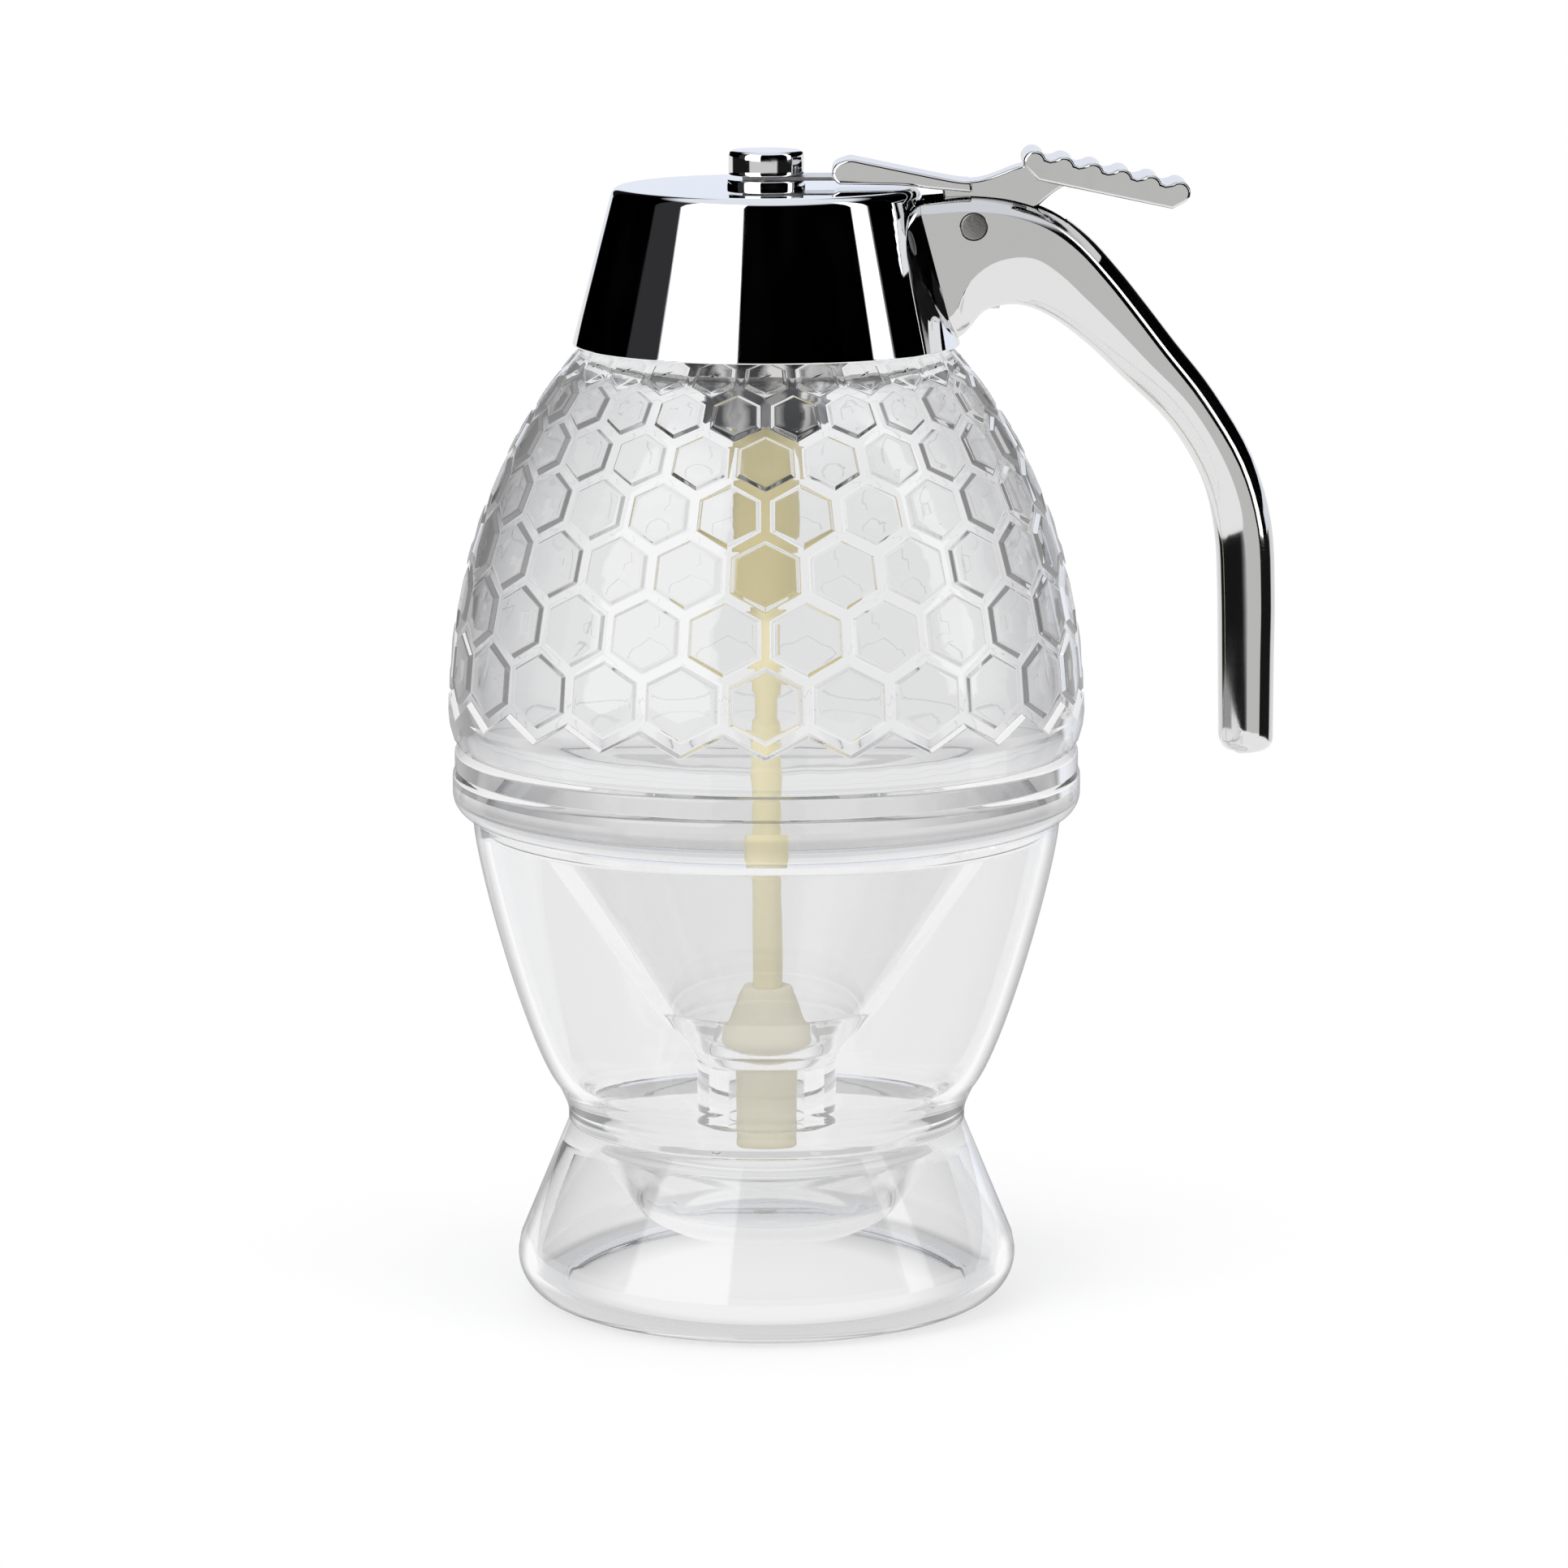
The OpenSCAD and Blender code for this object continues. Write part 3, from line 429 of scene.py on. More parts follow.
def makeClear(name, colour, bump, waveScale, lost=clearPath["neverLost"], within=False):
    # clear moulded plastic, with painted shade: greyer where it is seen edge-on, and where light goes
    # straight on, grey by how square the face is. Lamps shine through it, and light goes straight on after
    # too many bounces, or where the faces it has passed lie between the two lost numbers. Within means only
    # on its way out of the plastic.
    material = makeFinish(name, colour, 0.0, 0.03, bump, waveScale=waveScale, peel=0.02,
                          Transmission_Weight=1.0, IOR=1.49)
    tree = material.node_tree
    shader = tree.nodes["Principled BSDF"]
    path = tree.nodes.new("ShaderNodeLightPath").outputs
    passed, bounced = path["Transmission Depth"], path["Glossy Depth"]
    facing = newNode(tree, "ShaderNodeLayerWeight", Blend=0.5).outputs["Facing"]
    straight = addMath(tree, "LESS_THAN", bounced, 0.5)
    tinted = addMath(tree, "MULTIPLY", addMath(tree, "LESS_THAN", passed, clearPath["tintedFaces"]), straight)
    setInputs(shader, Base_Color=addMix(tree, tinted, 1.0, colour))
    low, high = clearPath["edgeOn"]
    edge = newNode(tree, "ShaderNodeMapRange", Value=facing, From_Min=low, From_Max=high,
                   To_Max=clearPath["edgeShare"])
    outer = addMath(tree, "MULTIPLY", addMath(tree, "LESS_THAN", passed, 0.5), straight)
    edgeOn = addMath(tree, "MULTIPLY", edge.outputs["Result"], outer)
    far = addMath(tree, "MULTIPLY", addMath(tree, "GREATER_THAN", passed, lost[0]),
                  addMath(tree, "LESS_THAN", passed, lost[1]))
    if within:
        side = tree.nodes.new("ShaderNodeNewGeometry")
        far = addMath(tree, "MULTIPLY", far, side.outputs["Backfacing"])
    tooOften = addMath(tree, "GREATER_THAN", bounced, clearPath["bounces"])
    gone = addMath(tree, "MAXIMUM", addMath(tree, "MAXIMUM", far, tooOften), path["Is Shadow Ray"])
    plain = addRamp(tree, facing, clearPath["paintedFacingShade"])
    colour = addMix(tree, gone, clearPath["paintedEdgeShade"], plain)
    through = newNode(tree, "ShaderNodeBsdfTransparent", Color=colour).outputs["BSDF"]
    blendShaders(tree, addMath(tree, "MAXIMUM", gone, edgeOn), shader.outputs["BSDF"], through)
    return material


def makeReflectionStreaks(name, roughness, across, along, dark, light, stops=(0.44, 0.6)):
    # painted reflection: chrome whose colour runs in dark and light streaks along the piece, standing in for
    # what it mirrors
    material = makeFinish(name, light, roughness, roughness + 0.1, 0.01, Metallic=1.0)
    tree = material.node_tree
    place = tree.nodes.new("ShaderNodeTexCoord").outputs["Object"]
    stretch = newNode(tree, "ShaderNodeMapping", Vector=place, Scale=(across, across, along))
    streaks = newNode(tree, "ShaderNodeTexNoise", Vector=stretch.outputs["Vector"], Scale=1.0, Detail=1.0)
    colour = addRamp(tree, streaks.outputs["Fac"], list(zip(stops, (dark, light))))
    setInputs(tree.nodes["Principled BSDF"], Base_Color=colour)
    return material


behindFront = (1.5, 99.0)         # lost from the third face on
thirdFace = (1.5, 2.5)            # lost at the third alone
finishes = dict(
    # the clear finishes are one acrylic; its darker copies, funnel 0.77, cell walls 0.78 and cells 0.8, are
    # painted shade
    stand=makeClear("clearStand", 0.92, 0.05, 45.0),
    jar=makeClear("clearJar", 0.91, 0.04, 60.0, thirdFace, within=True),
    funnel=makeClear("clearFunnelShaded", 0.77, 0.04, 60.0, thirdFace),
    outlet=makeClear("clearOutlet", (0.94, 0.94, 0.93), 0.04, 60.0, thirdFace),
    liner=makeClear("clearLiner", 0.95, 0.05, 110.0, behindFront),
    comb=makeClear("clearComb", 0.92, 0.1, 160.0, behindFront),
    neck=makeClear("clearNeck", 0.95, 0.05, 60.0, (0.5, 99.0)),
    wall=makeClear("clearWallShaded", 0.78, 0.05, 160.0, behindFront),
    cell=makeClear("clearCellShaded", 0.8, 0.1, 160.0, behindFront),
    lid=makeFinish("platedLid", (0.93, 0.94, 0.96), 0.015, 0.06, 0.012, waveScale=30.0, peel=0.03,
                   Metallic=1.0),
    # painted shade: the handle and lever chrome is a darker copy of the lid's, 0.76 against 0.93
    handle=makeFinish("handleChromeShaded", 0.76, 0.05, 0.12, 0.008, waveScale=70.0, peel=0.02, Metallic=1.0),
    knob=makeFinish("turnedChrome", (0.9, 0.9, 0.91), 0.03, 0.1, 0.02, waveScale=150.0, peel=0.1,
                    Metallic=1.0),
    pin=makeFinish("pinSteel", (0.36, 0.35, 0.34), 0.32, 0.6, 0.05, waveScale=500.0, peelScale=3000.0,
                   peel=0.6, tint=(0.2, 0.19, 0.18), Metallic=1.0),
    # painted reflection: the tube's dark and light streaks
    tube=makeReflectionStreaks("tubeReflectionStreaks", 0.12, 380, 25, (0.03, 0.03, 0.035), (0.75, 0.74, 0.73)),
    steel=makeFinish("springSteel", (0.62, 0.62, 0.63), 0.22, 0.4, 0.01, Metallic=1.0),
    cream=makeFinish("creamPlastic", (0.72, 0.67, 0.45), 0.34, 0.5, 0.03, waveScale=120.0,
                     tint=(0.7, 0.64, 0.42), Subsurface_Weight=0.15, Subsurface_Scale=0.002),
    # painted shade: the sleeve is the cream plastic in a darker, olive copy
    sleeve=makeFinish("sleeveCreamShaded", (0.56, 0.5, 0.29), 0.34, 0.5, 0.03, waveScale=120.0,
                      tint=(0.54, 0.48, 0.27)),
    stopper=makeFinish("stopperPlastic", (0.97, 0.92, 0.74), 0.4, 0.5, 0.03, waveScale=120.0,
                       tint=(0.94, 0.88, 0.7), Transmission_Weight=0.3, IOR=1.3),
    white=makeFinish("whitePlastic", (0.84, 0.84, 0.82), 0.35, 0.5, 0.03, tint=(0.8, 0.8, 0.77)),
    gasket=makeFinish("siliconeGasket", (0.8, 0.8, 0.77), 0.55, 0.7, 0.03, tint=(0.74, 0.74, 0.7)),
)
print("materials made")


foot = dict(
    radius=reach("stand_foot"),
    rounding=5.5,
    wall=1.8,
    opening=26.5,
    waistRadius=25.9,
    spigot=2.9,             # how far the bowl reaches down into the foot
    flare=(0.35, 2.2),      # in from the foot's edge and up from its rounding, where the flare begins
)
bowl = dict(
    wall=foot["wall"],
    waistRadius=foot["waistRadius"],
    spigot=foot["spigot"],
    rimRadius=38.1,
    floor=7.2,
    # radius, height over the floor and rounding, from the drip cup's middle outwards
    cup=[(0.4, 0), (8, 0.3), (13, 1.3, 1.0), (16.3, 3.0, 1.0), (17.4, 4.1, 1.0)],
)


def makeFoot(f):
    radius, wall, rounding, waist = f["radius"], f["wall"], f["rounding"], f["waistRadius"]
    inner, top = waist - wall + partGap, level["waist"] - partGap
    spigotLow = level["waist"] - f["spigot"]
    centre = (radius - rounding, rounding)
    flare = (radius - f["flare"][0], rounding + f["flare"][1])
    under = arc(centre, rounding - wall, -90, -6, 8)
    inside = softened([(f["opening"], 0, 0.5), (f["opening"], wall, 0.6), under[0]], closed=False)
    lip = softened([(flare[0] - wall, flare[1], 1.0), (inner + 0.4, spigotLow - 1, 0.4),
                    (inner, spigotLow), (inner, top)], closed=False)
    outside = [(waist - 0.3, top), (waist, top - 0.3), flare] + arc(centre, rounding, 4, -90, 14)
    return turned("foot", outside + inside[:-1] + under + lip, 128)


def bowlSide(b, inset):
    low, high, outer = level["waist"], level["rim"], b["rimRadius"]
    rise = high - low
    return bezier((b["waistRadius"] + 1.3 - 0.73 * inset, low + 4.75 + 0.68 * inset),
                  (outer - 7 - 0.85 * inset, low + rise * 0.22 + 0.5 * inset),
                  (outer - inset, low + rise * 0.86), (outer - inset, high - partGap - 0.3), 24)


def makeBowl(b):
    waist, wall, floor, outer = level["waist"], b["wall"], b["floor"], b["waistRadius"]
    inner, spigotLow, rimTop = outer - wall, waist - b["spigot"], level["rim"] - partGap
    cup = [(r, floor + z, *soft) for r, z, *soft in b["cup"]]
    outside = softened(
        cup + [(inner - partGap, spigotLow, 0.3), (inner - partGap, waist, 0.15), (outer, waist, 0.4),
               (outer, waist + 1.9, 1.4)] + bowlSide(b, 0), closed=False, steps=5)
    rim = [(b["rimRadius"] - 0.3, rimTop), (b["rimRadius"] - wall + 0.3, rimTop)]
    inside = softened(
        bowlSide(b, wall)[::-1] +
        [(inner - wall * 0.2, waist + 2.6, 1.2), (inner - wall, spigotLow + 0.6, 1.0),
         (cup[3][0], floor + wall + 3.4, 1.0)] + [(r, z + wall) for r, z, *soft in reversed(cup[:-2])],
        closed=False, steps=5)
    return turned("bowl", outside + rim + inside, 128, hollow=False)


finishPiece(makeFoot(foot), "stand", "stand", "clear_stand", "stand_foot")
finishPiece(makeBowl(bowl), "stand", "stand", "clear_stand", "stand_bowl")


jar = dict(
    rimRadius=reach("funnel"),
    rimRound=3.0,
    wall=1.8,
    coneRadius=32.3,
    outletRadius=9.1,
    outletHeight=9.0,
    bore=5.0,
    seat=1.6,
    seatRadius=6.9,
    lip=2.0,
    lipRadius=36.0,
    bandRadius=40.4,
    bandHeight=3.0,
    groove=0.8,             # between the plain band and the dome
    joint=0.25,             # groove where funnel and dome are bonded
    radius=41.35,
    bulge=6.0,
    height=53.0,
    shoulder=22.4,
    curve=1.84,
    domeWall=2.3,
    neckRadius=17.8,
    neckWall=2.0,
    threadDepth=0.75,
    threadPitch=4.2,
    threadRings=32,         # rings of points from the thread's top to its foot
    corners=96,
)
comb = dict(
    cells=24,
    rows=7,
    squash=0.89,
    start=3.1,
    cut=-0.9,
    way=0.62,               # half the way between two cells
    slope=0.4,              # width of a cell's wall
    depth=0.5,
    bulge=0.2,
    pillow=[(0.5, 0.07), (0.8, 0.06), (0.9, 0.04)],      # rings of the cell's rounded face
    edge=0.14,
)
bandTop = level["flange"] + jar["bandHeight"]
shoulderHeight = bandTop + jar["height"]


def domeRadius(z):
    widest = bandTop + jar["bulge"]
    if z <= widest:
        return jar["radius"] - (jar["radius"] - jar["bandRadius"] + 0.3) * ((widest - z) / jar["bulge"]) ** 2
    rise = (shoulderHeight - widest) / (1 - (jar["shoulder"] / jar["radius"]) ** 2) ** (1 / jar["curve"])
    return jar["radius"] * math.sqrt(1 - ((z - widest) / rise) ** jar["curve"])


def domeSlope(z):
    return (domeRadius(z + 0.1) - domeRadius(z - 0.1)) / 0.2


def lipOf(z):
    # halfway through the dome's wall, above its band
    return domeRadius(min(z, shoulderHeight - 0.2)) - jar["domeWall"] / 2


def combHeights():
    # heights of every third of a row, so that each cell is as tall as its place round the dome asks
    heights = [bandTop + comb["start"]]
    while len(heights) < 3 * comb["rows"] + 3:
        z = heights[-1]
        side = math.sqrt(3) / 6 * 2 * math.pi * domeRadius(z) / comb["cells"]
        heights.append(z + comb["squash"] * side / math.hypot(1, domeSlope(z)))
    return heights


def combHeight(row, heights):
    third = 3 * (row + 1)
    low = min(int(third), len(heights) - 2)
    return mix(heights[low], heights[low + 1], third - low)


def ringAt(r, z, corners):
    turns = [math.radians(k * 360 / corners - 90) for k in range(corners)]
    return [(r * math.cos(a), r * math.sin(a), z) for a in turns]


def threadedRing(z, low, high):
    # the neck's outside at one height, with a rounded thread that fades out at both ends
    points = []
    for k in range(jar["corners"]):
        turn = k / jar["corners"]
        climb = (z - low) / jar["threadPitch"] - turn
        ridge = max(0, math.cos((climb % 1 - 0.5) * 2 * math.pi)) ** 1.5
        fadeIn = min(1, max(0, (climb + 0.1) * 5))
        fadeOut = min(1, max(0, ((high - z) / jar["threadPitch"] - 0.12) * 5))
        r = jar["neckRadius"] - jar["threadDepth"] * (1 - ridge * fadeIn * fadeOut)
        a = math.radians(turn * 360 - 90)
        points.append((r * math.cos(a), r * math.sin(a), z))
    return points


def jarOutline(j, combLow):
    # from the comb's lower edge down the outside, up the inside and over the mouth to the thread
    low, rim, joint = level["outlet"], level["rim"], level["flange"]
    band, edge, lip, cone = j["bandRadius"], j["rimRadius"], j["lipRadius"], j["coneRadius"]
    outlet, bore, wide = j["outletRadius"], j["bore"], j["seatRadius"]
    coneLow = low + j["outletHeight"]
    seat = coneLow + j["seat"]
    knee = (outlet + 6.2, coneLow + 8)
    inner = band - j["domeWall"]
    mouth, neck, top = j["neckRadius"] - j["neckWall"], j["neckRadius"] - j["threadDepth"], level["neckTop"]
    bulge = [(domeRadius(z), z) for z in (mix(combLow, bandTop, t) for t in (0.3, 0.7))]
    outside = bulge + softened(
        [(band - 0.42, bandTop + 0.35), (band - j["groove"], bandTop, 0.15), (band, bandTop - 0.5, 0.3),
         (band, joint + 0.12, 0.1), (band - j["joint"], joint + 0.05, 0.05), (edge - 0.5, joint, 0.1),
         (edge, joint - 0.5, 0.4), (edge, rim + j["rimRound"] + 0.3)], closed=False)
    outside += arc((edge - j["rimRound"], rim + j["rimRound"]), j["rimRound"], -4, -90, 10)
    outside += softened(
        [(lip + 0.6, rim), (lip, rim, 0.2), (lip, rim - j["lip"], 0.5), (cone - 1.2, rim - j["lip"], 0.6),
         knee], closed=False)[:-1]
    outside += bezier(knee, (outlet + 3.6, coneLow + 4.6), (outlet + 0.4, coneLow + 2.4), (outlet, coneLow),
                      12)
    outside += softened([(outlet, coneLow - 1), (outlet, low, 0.6), (bore, low, 0.4), (bore, low + 1)],
                        closed=False)
    inside = softened([(bore, low + 1.2), (bore, seat - 1.2, 0.5), (wide, seat + 0.6)], closed=False)
    inside += bezier((wide, seat + 0.7), (outlet + 0.4, coneLow + 4.2), (outlet + 2.4, coneLow + 6.6),
                     (knee[0] - j["wall"] * 0.95, knee[1] + 0.8), 10)
    inside += bezier((cone - 1.9, rim - 0.2), (cone, rim + 1.9), (inner, rim + 2.2), (inner, rim + 4.0), 10)
    heights = [mix(bandTop + 1, shoulderHeight - 3.2, i / 14) for i in range(15)]
    inside += [(domeRadius(z) - j["domeWall"], z) for z in heights]
    inside += softened(
        [(mouth + 2.2, shoulderHeight - 2.6), (mouth, shoulderHeight - 1.6, 1.2), (mouth, top, 0.5),
         (neck, top, 0.5), (neck, top - 1)], closed=False)
    return outside + inside


def makeComb(heights):
    # hexagons drawn as a zigzag grid on the sunken ways, then inset to leave the ways and raise the cells
    around = 2 * comb["cells"]
    sunk = comb["depth"] + comb["bulge"]

    def cornerHeight(row, corner):
        if row < 0:
            return combHeight(comb["cut"], heights)
        return combHeight(row - (2 / 3 if (corner + row) % 2 == 0 else 1 / 3), heights)

    rings = []
    for row in range(-1, comb["rows"] + 1):
        ring = []
        for corner in range(around):
            z = cornerHeight(row, corner)
            turn = math.radians(corner * 360 / around - 90)
            r = domeRadius(z) - sunk
            ring.append((r * math.cos(turn), r * math.sin(turn), z))
        rings.append(ring)
    piece = extrudedRings("comb", rings)
    # the upright edge in the middle of each cell goes, which leaves a six-sided face
    middles = set()
    for row in range(-1, comb["rows"]):
        for corner in range(row % 2, around, 2):
            low, high = rings[row + 1][corner], rings[row + 2][corner]
            middles.add(tuple(round((a + b) / 2, 2) for a, b in zip(low, high)))

    def isMiddle(edge):
        centre = (edge.verts[0].co + edge.verts[1].co) / 2 / mm
        return tuple(round(c, 2) for c in centre) in middles

    selectEdges(piece, isMiddle)
    bpy.ops.mesh.dissolve_edges(use_verts=False)
    bpy.ops.mesh.select_mode(type="FACE")
    bpy.ops.mesh.select_all(action="SELECT")
    bpy.ops.mesh.normals_make_consistent(inside=False)
    mesh = bmesh.from_edit_mesh(piece.data)
    outward = sum(face.normal.dot(face.calc_center_median().normalized()) for face in mesh.faces)
    if outward < 0:
        bpy.ops.mesh.flip_normals()
    # what lies below the lowest cells rises as one strip, and each cell by itself
    bottom = combHeight(comb["cut"], heights) + 0.1
    spread = dict(use_even_offset=True, use_boundary=False)
    single = dict(use_even_offset=True, use_individual=True)
    for strip in (True, False):
        mesh = bmesh.from_edit_mesh(piece.data)
        for face in mesh.faces:
            reaches = min(v.co.z for v in face.verts) / mm < bottom
            face.select = reaches == strip and (len(face.verts) == 6 or strip)
        mesh.select_flush_mode()
        bmesh.update_edit_mesh(piece.data)
        if strip:
            bpy.ops.mesh.inset(thickness=comb["way"] * mm, depth=0, **spread)
            bpy.ops.mesh.inset(thickness=comb["slope"] * mm, depth=sunk * mm, **spread)
    for width, height in [(comb["way"], 0), (comb["slope"], comb["depth"])] + comb["pillow"]:
        bpy.ops.mesh.inset(thickness=width * mm, depth=height * mm, **single)
    bpy.ops.object.mode_set(mode="OBJECT")
    bevelEdges(piece, comb["edge"], 2, 28)
    return piece


def bridgeBetween(piece, lowest, highest):
    # joins the two open rings whose corners all lie between two heights
    selectEdges(piece, lambda edge: edge.is_boundary and all(
        lowest <= v.co.z / mm <= highest for v in edge.verts))
    bpy.ops.mesh.bridge_edge_loops()


def jarPart(centre, normal):
    # which of the jar's clear finishes a face gets, by its place
    height, out = centre.z, math.hypot(centre.x, centre.y)
    if height > bandTop + 0.5:
        if out < lipOf(height):
            return "neck" if height > shoulderHeight - 3.8 else "liner"
        under = domeRadius(min(height, shoulderHeight - 0.2)) - out
        if under < comb["bulge"] + 0.05:
            return "cell"
        return "wall" if under < comb["bulge"] + comb["depth"] - 0.08 else "comb"
    if normal.x * centre.x + normal.y * centre.y >= 0:
        return "jar"
    # inside the thick rim the rod shows straight, as through the neck, and the outlet is the clearest
    if level["rim"] - 3 < height < level["flange"]:
        return "neck"
    return "outlet" if height < level["outlet"] + jar["outletHeight"] + 8 else "funnel"


def makeJar(j):
    heights = combHeights()
    combLow, combHigh = combHeight(comb["cut"], heights), heights[-1]
    rings = [ringAt(r, z, j["corners"]) for r, z in jarOutline(j, combLow)]
    threadLow, threadHigh, last = shoulderHeight + 1.0, level["neckTop"] - 1.4, j["threadRings"]
    for i in range(last + 1):
        rings.append(threadedRing(mix(threadHigh, threadLow, i / last), threadLow, threadHigh))
    neck, under = j["neckRadius"] - j["threadDepth"], shoulderHeight - 0.6
    shoulder = softened([(neck, shoulderHeight + 0.8), (neck, shoulderHeight, 0.5),
                         (j["shoulder"], shoulderHeight, 0.6), (domeRadius(under), under)], closed=False)
    rings += [ringAt(r, z, j["corners"]) for r, z in shoulder]
    body = extrudedRings("clearJar", rings)
    cells = makeComb(heights)
    pick(body)
    cells.select_set(True)
    bpy.ops.object.join()
    bpy.ops.object.mode_set(mode="EDIT")
    bridgeBetween(body, bandTop, combLow + 0.3)
    bridgeBetween(body, combHigh - 8, level["neckTop"])
    bpy.ops.object.mode_set(mode="OBJECT")
    settle(body, 180)
    body.data.materials.clear()
    parts = ("jar", "funnel", "liner", "comb", "wall", "cell", "neck", "outlet")
    for part in parts:
        body.data.materials.append(finishes[part])
    for face in body.data.polygons:
        part = jarPart(face.center / mm, face.normal)
        face.material_index = parts.index(part)
    even = body.modifiers.new("even shading", "WEIGHTED_NORMAL")
    even.keep_sharp = True
    applyAll(body)
    return body


jarPiece = finishPiece(makeJar(jar), "jar", "jar", "clear_jar", "funnel", "jar_dome", "jar_neck")
jarPiece.visible_glossy = False     # the chrome beside it mirrors the studio only


lid = dict(
    mouthRadius=reach("lid_shell"),
    topRadius=19.6,
    wall=1.0,
    topThickness=1.4,
    topRound=1.3,
    bushHole=4.16,
)


def lidRadius(z):
    rise = (z - level["lidMouth"]) / (level["lidTop"] - level["lidMouth"])
    return mix(lid["mouthRadius"], lid["topRadius"], rise)


def makeLid(l):
    low, top = level["lidMouth"], level["lidTop"]
    under = top - l["topThickness"]
    profile = softened(
        [(l["bushHole"], under), (l["bushHole"], top), (l["topRadius"], top, l["topRound"]),
         (l["mouthRadius"], low, 0.25), (l["mouthRadius"] - l["wall"], low, 0.2),
         (lidRadius(under) - l["wall"], under)], steps=8)
    return turned("lidCap", profile, 160)


gasket = dict(
    thickness=1.5,
    play=0.1,
)


def makeGasket(g):
    inner, outer = jar["neckRadius"] - jar["neckWall"], jar["neckRadius"] + g["play"]
    low, high = level["neckTop"], level["neckTop"] + g["thickness"]
    profile = softened([(inner, low, 0.3), (outer, low, 0.3), (outer, high, 0.3), (inner, high, 0.3)])
    return turned("sealRing", profile, 96)


screwRing = dict(
    play=0.1,
    inset=2.2,          # how far it begins above the lid's mouth
    ledge=4.0,          # the flange over the gasket
    fit=0.02,
)


def makeScrewRing(s):
    inner, ledge = jar["neckRadius"] + s["play"], jar["neckRadius"] - s["ledge"]
    low, under, gasketTop = level["lidMouth"] + s["inset"], level["lidUnder"], highest("lid_gasket")
    outer = lid["wall"] + s["fit"]
    profile = softened(
        [(inner, low, 0.4), (lidRadius(low) - outer, low, 0.4), (lidRadius(under) - outer, under),
         (ledge, under), (ledge, gasketTop), (inner, gasketTop)])
    return turned("threadRing", profile, 96)


bush = dict(
    radius=5.0,
    bore=1.98,
    stem=4.08,
)


def makeBush(b):
    low, top, groove = lowest("rod_bush"), level["lidTop"], level["groove"]
    profile = softened(
        [(b["bore"], low, 0.2), (b["stem"], low, 0.2), (b["stem"], top), (b["radius"], top),
         (b["radius"], groove, 0.25), (b["bore"], groove, 0.2)])
    return turned("rodGuide", profile, 96)


tube = dict(
    radius=8.05,
    wall=0.9,
    flange=2.2,
    flangeHeight=1.2,
)


def makeTube(t):
    low, top, outer, inner = level["tubeLow"], level["lidUnder"], t["radius"], t["radius"] - t["wall"]
    under, flange = top - t["flangeHeight"], outer + t["flange"]
    profile = softened([(inner, low, 0.25), (outer, low, 0.25), (outer, under, 0.4), (flange, under),
                        (flange, top), (inner, top)])
    return turned("springHousing", profile, 96)


sleeve = dict(
    radius=4.3,
    bore=1.98,
    seat=7.15,
    flange=2.5,
    fit=0.02,
)


def makeSleeve(s):
    low, top, bore = lowest("guide_sleeve"), level["tubeLow"], s["bore"]
    seat, step, high = s["seat"] - s["fit"], top - s["fit"], top + s["flange"]
    profile = softened([(bore, low, 0.2), (s["radius"], low, 0.5), (s["radius"], step, 0.3),
                        (seat, step, 0.2), (seat, high), (bore, high)])
    return turned("rodSleeve", profile, 64)


finishPiece(makeLid(lid), "lid", "lid", "chrome", "lid_shell")
finishPiece(makeGasket(gasket), "lid_seal", "gasket", "silicone", "lid_gasket")
finishPiece(makeScrewRing(screwRing), "lid", "white", "white_plastic", "screw_ring")
finishPiece(makeBush(bush), "lid", "knob", "chrome", "rod_bush")
finishPiece(makeTube(tube), "lid", "tube", "chrome", "spring_tube")
finishPiece(makeSleeve(sleeve), "lid", "sleeve", "cream_plastic", "guide_sleeve")


handle = dict(
    width=11.0,
    reach=46.0,
    drop=72.9,
    grip=7.2,
    slotWidth=6.2,
    slotLength=18.8,
    slotHeight=23.0,
    slotRise=8.0,           # from the pin up to the slot's middle
    sharpCrease=2.6,        # the least distance from the back to the side's crease
    fit=0.02,               # between the lid's side and the handle
    pinPlay=0.06,
    smooth=28,
    perStation=4,
    tipRounding=[(0.12, 0.5), (0.4, 1.0), (0.85, 1.35), (1.6, 1.6)],    # in from all sides, and down
)
tip = (handle["reach"], -handle["drop"])
# outer point, inner point and the place of the side's crease, from the lid's top edge
handleStations = [
    ((-5.6, -1.7), (0.4, -20.4), 0.93),
    ((2.6, -0.95), (4.6, -19.4), 0.82),
    ((7.0, -0.8), (6.2, -18.2), 0.63),
    ((12.1, -1.4), (8.2, -15.9), 0.545),
    ((17.2, -3.2), (11.3, -15.0), 0.485),
    ((21.5, -6.3), (14.3, -15.4), 0.51),
    ((25.4, -10.5), (17.8, -17.2), 0.545),
    ((28.8, -14.7), (21.9, -20.4), 0.55),
    ((32.9, -20.0), (26.0, -24.3), 0.53),
    ((37.8, -26.2), (32.1, -30.3), 0.5),
    ((42.8, -34.5), (36.4, -37.4), 0.51),
    ((tip[0] - 0.6, -43), (tip[0] - 0.6 - handle["grip"], -44.3), 0.48),
    ((tip[0], -52), (tip[0] - handle["grip"] - 0.1, -52), 0.47),
    ((tip[0], tip[1] + 12), (tip[0] - handle["grip"] + 0.1, tip[1] + 12), 0.47),
    ((tip[0], tip[1] + 1.6), (tip[0] - handle["grip"] + 0.3, tip[1] + 1.6), 0.47),
]


def through(values, t):
    # a smooth curve through a list of points, at position t
    i = min(int(t), len(values) - 2)
    f = t - i
    a, b, c, d = (Vector(values[k]) for k in (max(i - 1, 0), i, i + 1, min(i + 2, len(values) - 1)))
    bend = (2 * a - 5 * b + 4 * c - d) * f * f
    return 0.5 * (2 * b + (c - a) * f + bend + (3 * b - a - 3 * c + d) * f ** 3)


